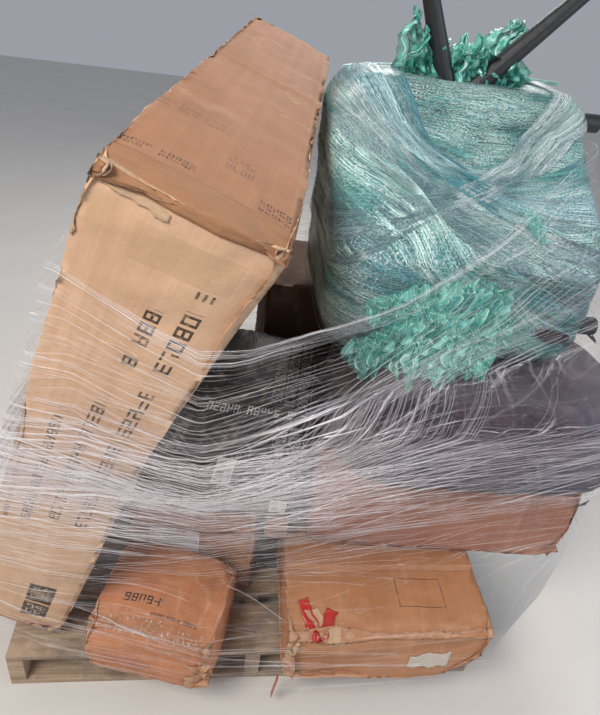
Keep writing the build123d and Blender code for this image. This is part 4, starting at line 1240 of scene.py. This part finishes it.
def scrap(name, base, tip, width, material, seed, rows=26, columns=16, fold=0.02):
    """Loose crumpled film from base up to tip, gathered at both ends."""
    base, tip = np.array(base, float), np.array(tip, float)
    way = tip - base
    side = np.cross(way, (0.2, -1.0, 0.1))
    side /= np.linalg.norm(side)
    out = np.cross(side, way)
    out /= np.linalg.norm(out)
    t, c = np.meshgrid(np.linspace(0, 1, rows), np.linspace(-0.5, 0.5, columns), indexing="ij")
    t, c = t.ravel(), c.ravel()
    wide = width * (0.35 + 0.9 * np.sin(np.clip(t * 1.15, 0, 1) * math.pi) ** 0.7) * (1 - 0.7 * t**3)
    at = np.stack([t * np.linalg.norm(way), c * width, t * 0 + seed], -1)
    points = base + t[:, None] * way + (c * wide)[:, None] * side
    points += out * (layered_noise(at, 0.035, seed) * fold + np.sin(c * 21 + seed) * fold * 0.5)[:, None]
    points += side * (layered_noise(at, 0.05, seed + 3) * fold * 0.8)[:, None]
    points[:, 2] += layered_noise(at, 0.02, seed + 6) * fold * 0.5 * t
    uv = np.stack([c * width * 1.0, t * np.linalg.norm(way), t * 0], -1)[:, [1, 0, 2]]
    obj = mesh_object(name, points, grid_faces(rows, columns), material, (("run", "POINT", uv),))
    return finish_piece(obj)


def make_furniture(tree):
    low, high = (np.array(corner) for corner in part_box("teal_wrap"))
    middle = np.array([(low[0] + high[0]) / 2, 0.06, (low[2] + high[2]) / 2])
    # The last tint of each teal and mint material here is a painted highlight colour.
    night, deep, sea, mint_highlight = (0.006, 0.020, 0.032), (0.020, 0.15, 0.16), (0.08, 0.38, 0.37), (0.50, 0.80, 0.75)
    grey = (0.20, 0.36, 0.40)
    grid = block_grid(low, high, FURN_R + 0.0033, 0, FURN_LEAN, low[2] + 0.0033 + FURN_LEAN_FROM, 0.006)

    def push(p, uv):
        wrap = layered_noise(np.stack([uv[:, 0] * 0.5, uv[:, 1] * 4, uv[:, 0] * 0], -1), 0.3, 75)
        return layered_noise(p, 0.14, 71) * 0.004 + wrap * 0.0028 - 0.001

    body = block_object("furniture_wrapped", grid, push, Matrix(),
                        teal_streaks("teal_base", (night, deep, sea, mint_highlight), 1.0, 1.5, 2.0, False),
                        ["furniture_body", "teal_wrap"])
    skin = Skin(body, middle)
    pale = teal_streaks("teal_pale", ((0.015, 0.08, 0.09), (0.03, 0.21, 0.21), (0.13, 0.43, 0.41), (0.62, 0.86, 0.82)), 0.95, 1.5, 3.0)
    blue = teal_streaks("teal_blue", (night, (0.02, 0.14, 0.19), (0.06, 0.33, 0.39), (0.48, 0.76, 0.79)), 0.9, 1.7, 6.0)
    ash = teal_streaks("teal_ash", ((0.02, 0.04, 0.06), (0.06, 0.14, 0.17), grey, (0.74, 0.86, 0.87)), 0.8, 1.9, 12.0)
    green = crumpled_film("teal_mint", ((0.04, 0.34, 0.30), (0.09, 0.54, 0.46), (0.26, 0.76, 0.66), (0.66, 0.95, 0.86)),
                          75.0, 1.1, 9.0)
    pick = random.Random(12)
    for k in range(10):
        wrap_band(f"teal_band_{k + 1}", skin, (pale, blue, ash, blue, pale)[k % 5], pick.gauss(3, 7),
                  90 + pick.uniform(-30, 30), 0.26 - 0.052 * ((k * 7) % 10), pick.uniform(0.11, 0.19),
                  0.0010 + 0.00030 * k, 80 + k)
    for k, (heading, tilt, offset) in enumerate(((90, 27, 0.05), (82, 31, -0.03), (96, 22, 0.15), (88, -26, 0.12))):
        wrap_band(f"teal_crossing_{k + 1}", skin, (ash, pale, blue)[k % 3], tilt, heading, offset, 0.10,
                  0.0056 + 0.0002 * k, 140 + k)
    for k, (x, z, wide, tall, tilt) in enumerate((
            (0.36, 0.99, 0.26, 0.20, 6), (0.30, 0.93, 0.18, 0.14, -14), (0.44, 0.95, 0.16, 0.16, 18),
            (0.235, 1.03, 0.12, 0.08, 25), (0.585, 1.215, 0.05, 0.09, -20))):
        u, v = np.meshgrid(np.linspace(-0.5, 0.5, 46), np.linspace(-0.5, 0.5, 34))
        u, v = u.ravel(), v.ravel()
        r = np.stack([u * wide, v * tall, u * 0], -1)
        rag = 1 + 0.25 * layered_noise(r, 0.05, 150 + k)
        c, sn = math.cos(math.radians(tilt)), math.sin(math.radians(tilt))
        px, pz = u * wide * rag, v * tall * rag
        ways = np.stack([x + px * c - pz * sn, np.full(len(u), low[1]), z + px * sn + pz * c], -1) - middle
        lift = 0.008 + 0.0045 * np.clip(layered_noise(r, 0.028, 160 + k), -0.7, 1) + 0.002 * k
        points = skin.onto(ways, lift)
        obj = mesh_object(f"green_crumple_{k + 1}", points, grid_faces(34, 46), green, (
            ("run", "POINT", np.stack([r[:, 1], r[:, 0], r[:, 2]], -1)),))
        finish_piece(obj)
    for k in range(9):
        x = 0.20 + k * 0.034 + pick.uniform(-0.01, 0.01)
        top_z = pick.uniform(0.93, 0.985)
        scrap(f"green_hem_{k + 1}", (x + pick.uniform(-0.02, 0.02), low[1] - 0.008, top_z),
              (x, low[1] - pick.uniform(0.02, 0.07), 0.875 - pick.uniform(0.0, 0.03)), 0.085, green, 170 + k, fold=0.012)
    thick = crumpled_film("teal_scrap", ((0.03, 0.36, 0.29), (0.08, 0.58, 0.47), (0.26, 0.80, 0.67), (0.78, 0.99, 0.93)),
                          40.0, 1.5, 15.0)
    for k in range(20):
        x = 0.29 + (k % 10) * 0.030 + pick.uniform(-0.012, 0.012)
        y = high[1] - (0.05 if k < 10 else 0.12) + pick.uniform(-0.03, 0.02)
        tall = pick.choice((0.04, 0.07, 0.10, 0.13)) * (1 if k < 10 else 0.7)
        scrap(f"green_scrap_{k + 1}", (x, y, high[2] - 0.014),
              (x + pick.uniform(-0.06, 0.06), y + pick.uniform(-0.05, 0.03), high[2] + tall), pick.uniform(0.06, 0.11),
              thick, 190 + k, fold=0.020)
    # A near-black disc laid on the wrap stands for the opening; its colour is painted shade.
    t = np.linspace(0, 2 * math.pi, 40, endpoint=False)
    radii = np.linspace(0.05, 1, 7)
    a, r = np.meshgrid(t, radii)
    a, r = a.ravel(), r.ravel()
    hole = np.stack([0.622 + 0.046 * r * np.cos(a), np.full(len(a), low[1]),
                     0.984 + (0.015 + 0.002 * np.sin(3 * a)) * r * np.sin(a) - 0.008 * np.cos(a) * r], -1) - middle
    obj = mesh_object("wrap_opening", skin.onto(hole, 0.0130), grid_faces(7, 40, True),
                      plain_film("opening_painted_shade", (0.040, 0.026, 0.028), 0.8))
    finish_piece(obj)
    black = plain_film("furniture_black", (0.014, 0.017, 0.020), 0.5)
    for node in ("furniture_leg_left", "furniture_leg_right", "furniture_foot_top", "furniture_foot_low"):
        paint(node, black)
    pale_line = strand_material("teal_strand", (0.42, 0.72, 0.66), 0.2, 0.8)
    lines = []
    for _ in range(60):
        rot = np.array(turn("Z", pick.uniform(0, 180)) @ turn("X", pick.gauss(0, 22)))[:3, :3]
        a = np.linspace(0, 2 * math.pi, 110) + pick.uniform(0, 6)
        ways = (np.cos(a)[:, None] * rot[:, 0] + np.sin(a)[:, None] * rot[:, 1]) * 0.3
        ways += pick.uniform(-0.2, 0.22) * rot[:, 2]
        n = pick.randint(14, 70)
        lines.append(skin.onto(ways[:n], 0.0075))
    strands("teal_strands", tree, lines, pale_line, "teal_film", Count=2, Spread=0.006, Radius=0.00018,
            Ripple=0.003, Seed=4)
    back = np.linspace(0, 1, 60)
    hem = np.stack([0.16 + (high[0] - 0.11) * back * 0.92 - 0.02, high[1] - 0.02 + back * 0, high[2] + 0.004 - 0.02 * (1 - back) ** 6], -1)
    strands("teal_rolled_edge", tree, [hem + np.array([0, k * 0.004, 0]) for k in range(3)], pale_line, "teal_film",
            Count=8, Spread=0.004, Radius=0.0007, Ripple=0.010, Seed=7)


# Pallet
def make_pallet():
    material = wood("pallet_wood")
    for name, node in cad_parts.items():
        if name.startswith(("deck_board", "bottom_board", "stringer")):
            node.data.materials.clear()
            node.data.materials.append(material)


# Stage
def make_stage():
    floor = bpy.data.meshes.new("floor")
    floor.from_pydata([(-9, -9, -0.001), (9, -9, -0.001), (9, 9, -0.001), (-9, 9, -0.001)], [], [(0, 1, 2, 3)])
    s = Shader("floor_paint")
    p = s.make("TexCoord", output="Object")
    n = s.noise(p, 3, 5, 0.6)
    floor.materials.append(s.principled({"Base Color": s.mix(n, (0.60, 0.58, 0.55), (0.68, 0.66, 0.63)),
                                         "Roughness": 0.85}))
    ground = bpy.data.objects.new("floor", floor)
    bpy.context.scene.collection.objects.link(ground)
    world = bpy.data.worlds.new("studio")
    world.use_nodes = True
    world.node_tree.nodes["Background"].inputs["Color"].default_value = (0.86, 0.90, 1.0, 1)
    world.node_tree.nodes["Background"].inputs["Strength"].default_value = 0.38
    bpy.context.scene.world = world
    bpy.context.scene.view_settings.view_transform = "Standard"
    for name, at, size, power, colour in (
            ("key", (-1.7, -2.2, 3.6), 1.5, 125, (1.0, 0.95, 0.88)),
            ("fill", (2.8, -1.6, 2.0), 2.2, 34, (0.90, 0.94, 1.0)),
            ("rim", (1.0, 2.4, 2.8), 1.4, 50, (1.0, 0.98, 0.95))):
        light = bpy.data.lights.new(name, "AREA")
        light.size, light.energy, light.color = size, power, colour
        lamp = bpy.data.objects.new(name, light)
        lamp.location = at
        lamp.rotation_mode = "QUATERNION"
        lamp.rotation_quaternion = (Vector((0.05, 0, 0.7)) - Vector(at)).to_track_quat("-Z", "Y")
        bpy.context.scene.collection.objects.link(lamp)
    yaw, pitch, roll = (math.radians(v) for v in (CAMERA_YAW, CAMERA_PITCH, CAMERA_ROLL))
    ahead = Vector((math.sin(yaw) * math.cos(pitch), math.cos(yaw) * math.cos(pitch), -math.sin(pitch)))
    right = Vector((math.cos(yaw), -math.sin(yaw), 0))
    down = ahead.cross(right)
    c, sn = math.cos(roll), math.sin(roll)
    right, down = right * c - down * sn, right * sn + down * c
    camera = bpy.data.cameras.new("camera")
    camera.sensor_width = SENSOR
    camera.lens = FOCAL_PX * SENSOR / PHOTO_H
    eye = bpy.data.objects.new("camera", camera)
    axes = Matrix((right, -down, -ahead)).transposed().to_4x4()
    eye.matrix_world = Matrix.Translation(CAMERA_AT) @ axes
    bpy.context.scene.collection.objects.link(eye)
    bpy.context.scene.camera = eye


# Add-on
class LoadSettings(bpy.types.PropertyGroup):
    haze: FloatProperty(name="Film haze", description="How much the clear film hides", default=0.8, min=0, max=1)
    strands: IntProperty(name="Strands", description="Fine strands across the front", default=90, min=0)


class OBJECT_OT_load_pallet(bpy.types.Operator):
    """Give the pallet its wood"""

    bl_idname = "object.load_pallet"
    bl_label = "Pallet"

    def execute(self, context):
        make_pallet()
        return {"FINISHED"}


class OBJECT_OT_load_cartons(bpy.types.Operator):
    """Build the crushed cartons with their labels and tape"""

    bl_idname = "object.load_cartons"
    bl_label = "Cartons"

    def execute(self, context):
        make_tall_carton()
        make_small_carton()
        make_left_stack()
        make_right_stack()
        make_hidden_cartons()
        return {"FINISHED"}


class OBJECT_OT_load_soft_goods(bpy.types.Operator):
    """Build the soft bundle and the furniture in teal film"""

    bl_idname = "object.load_soft_goods"
    bl_label = "Soft goods"

    def execute(self, context):
        make_bundle()
        make_furniture(strand_tree())
        return {"FINISHED"}


class OBJECT_OT_load_film(bpy.types.Operator):
    """Wrap the load in clear stretch film with strands and ropes"""

    bl_idname = "object.load_film"
    bl_label = "Stretch film"

    def execute(self, context):
        settings = context.scene.load_settings
        hull = make_film(settings)
        make_strands(hull, settings)
        return {"FINISHED"}


class OBJECT_OT_load_stage(bpy.types.Operator):
    """Floor, lights and camera"""

    bl_idname = "object.load_stage"
    bl_label = "Stage"

    def execute(self, context):
        make_stage()
        return {"FINISHED"}


class VIEW3D_PT_load(bpy.types.Panel):
    bl_label = "Pallet Load"
    bl_idname = "VIEW3D_PT_load"
    bl_space_type = "VIEW_3D"
    bl_region_type = "UI"
    bl_category = "Pallet Load"

    def draw(self, context):
        settings = context.scene.load_settings
        self.layout.prop(settings, "haze")
        self.layout.prop(settings, "strands")
        for operator in OPERATORS:
            self.layout.operator(operator.bl_idname)


OPERATORS = (OBJECT_OT_load_pallet, OBJECT_OT_load_cartons, OBJECT_OT_load_soft_goods, OBJECT_OT_load_film,
             OBJECT_OT_load_stage)
CLASSES = (LoadSettings, *OPERATORS, VIEW3D_PT_load)


def register():
    for cls in CLASSES:
        bpy.utils.register_class(cls)
    bpy.types.Scene.load_settings = PointerProperty(type=LoadSettings)


def unregister():
    del bpy.types.Scene.load_settings
    for cls in reversed(CLASSES):
        bpy.utils.unregister_class(cls)


def main():
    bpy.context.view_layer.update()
    register()
    for operator in OPERATORS:
        category, name = operator.bl_idname.split(".")
        getattr(getattr(bpy.ops, category), name)()


if __name__ == "__main__":
    main()
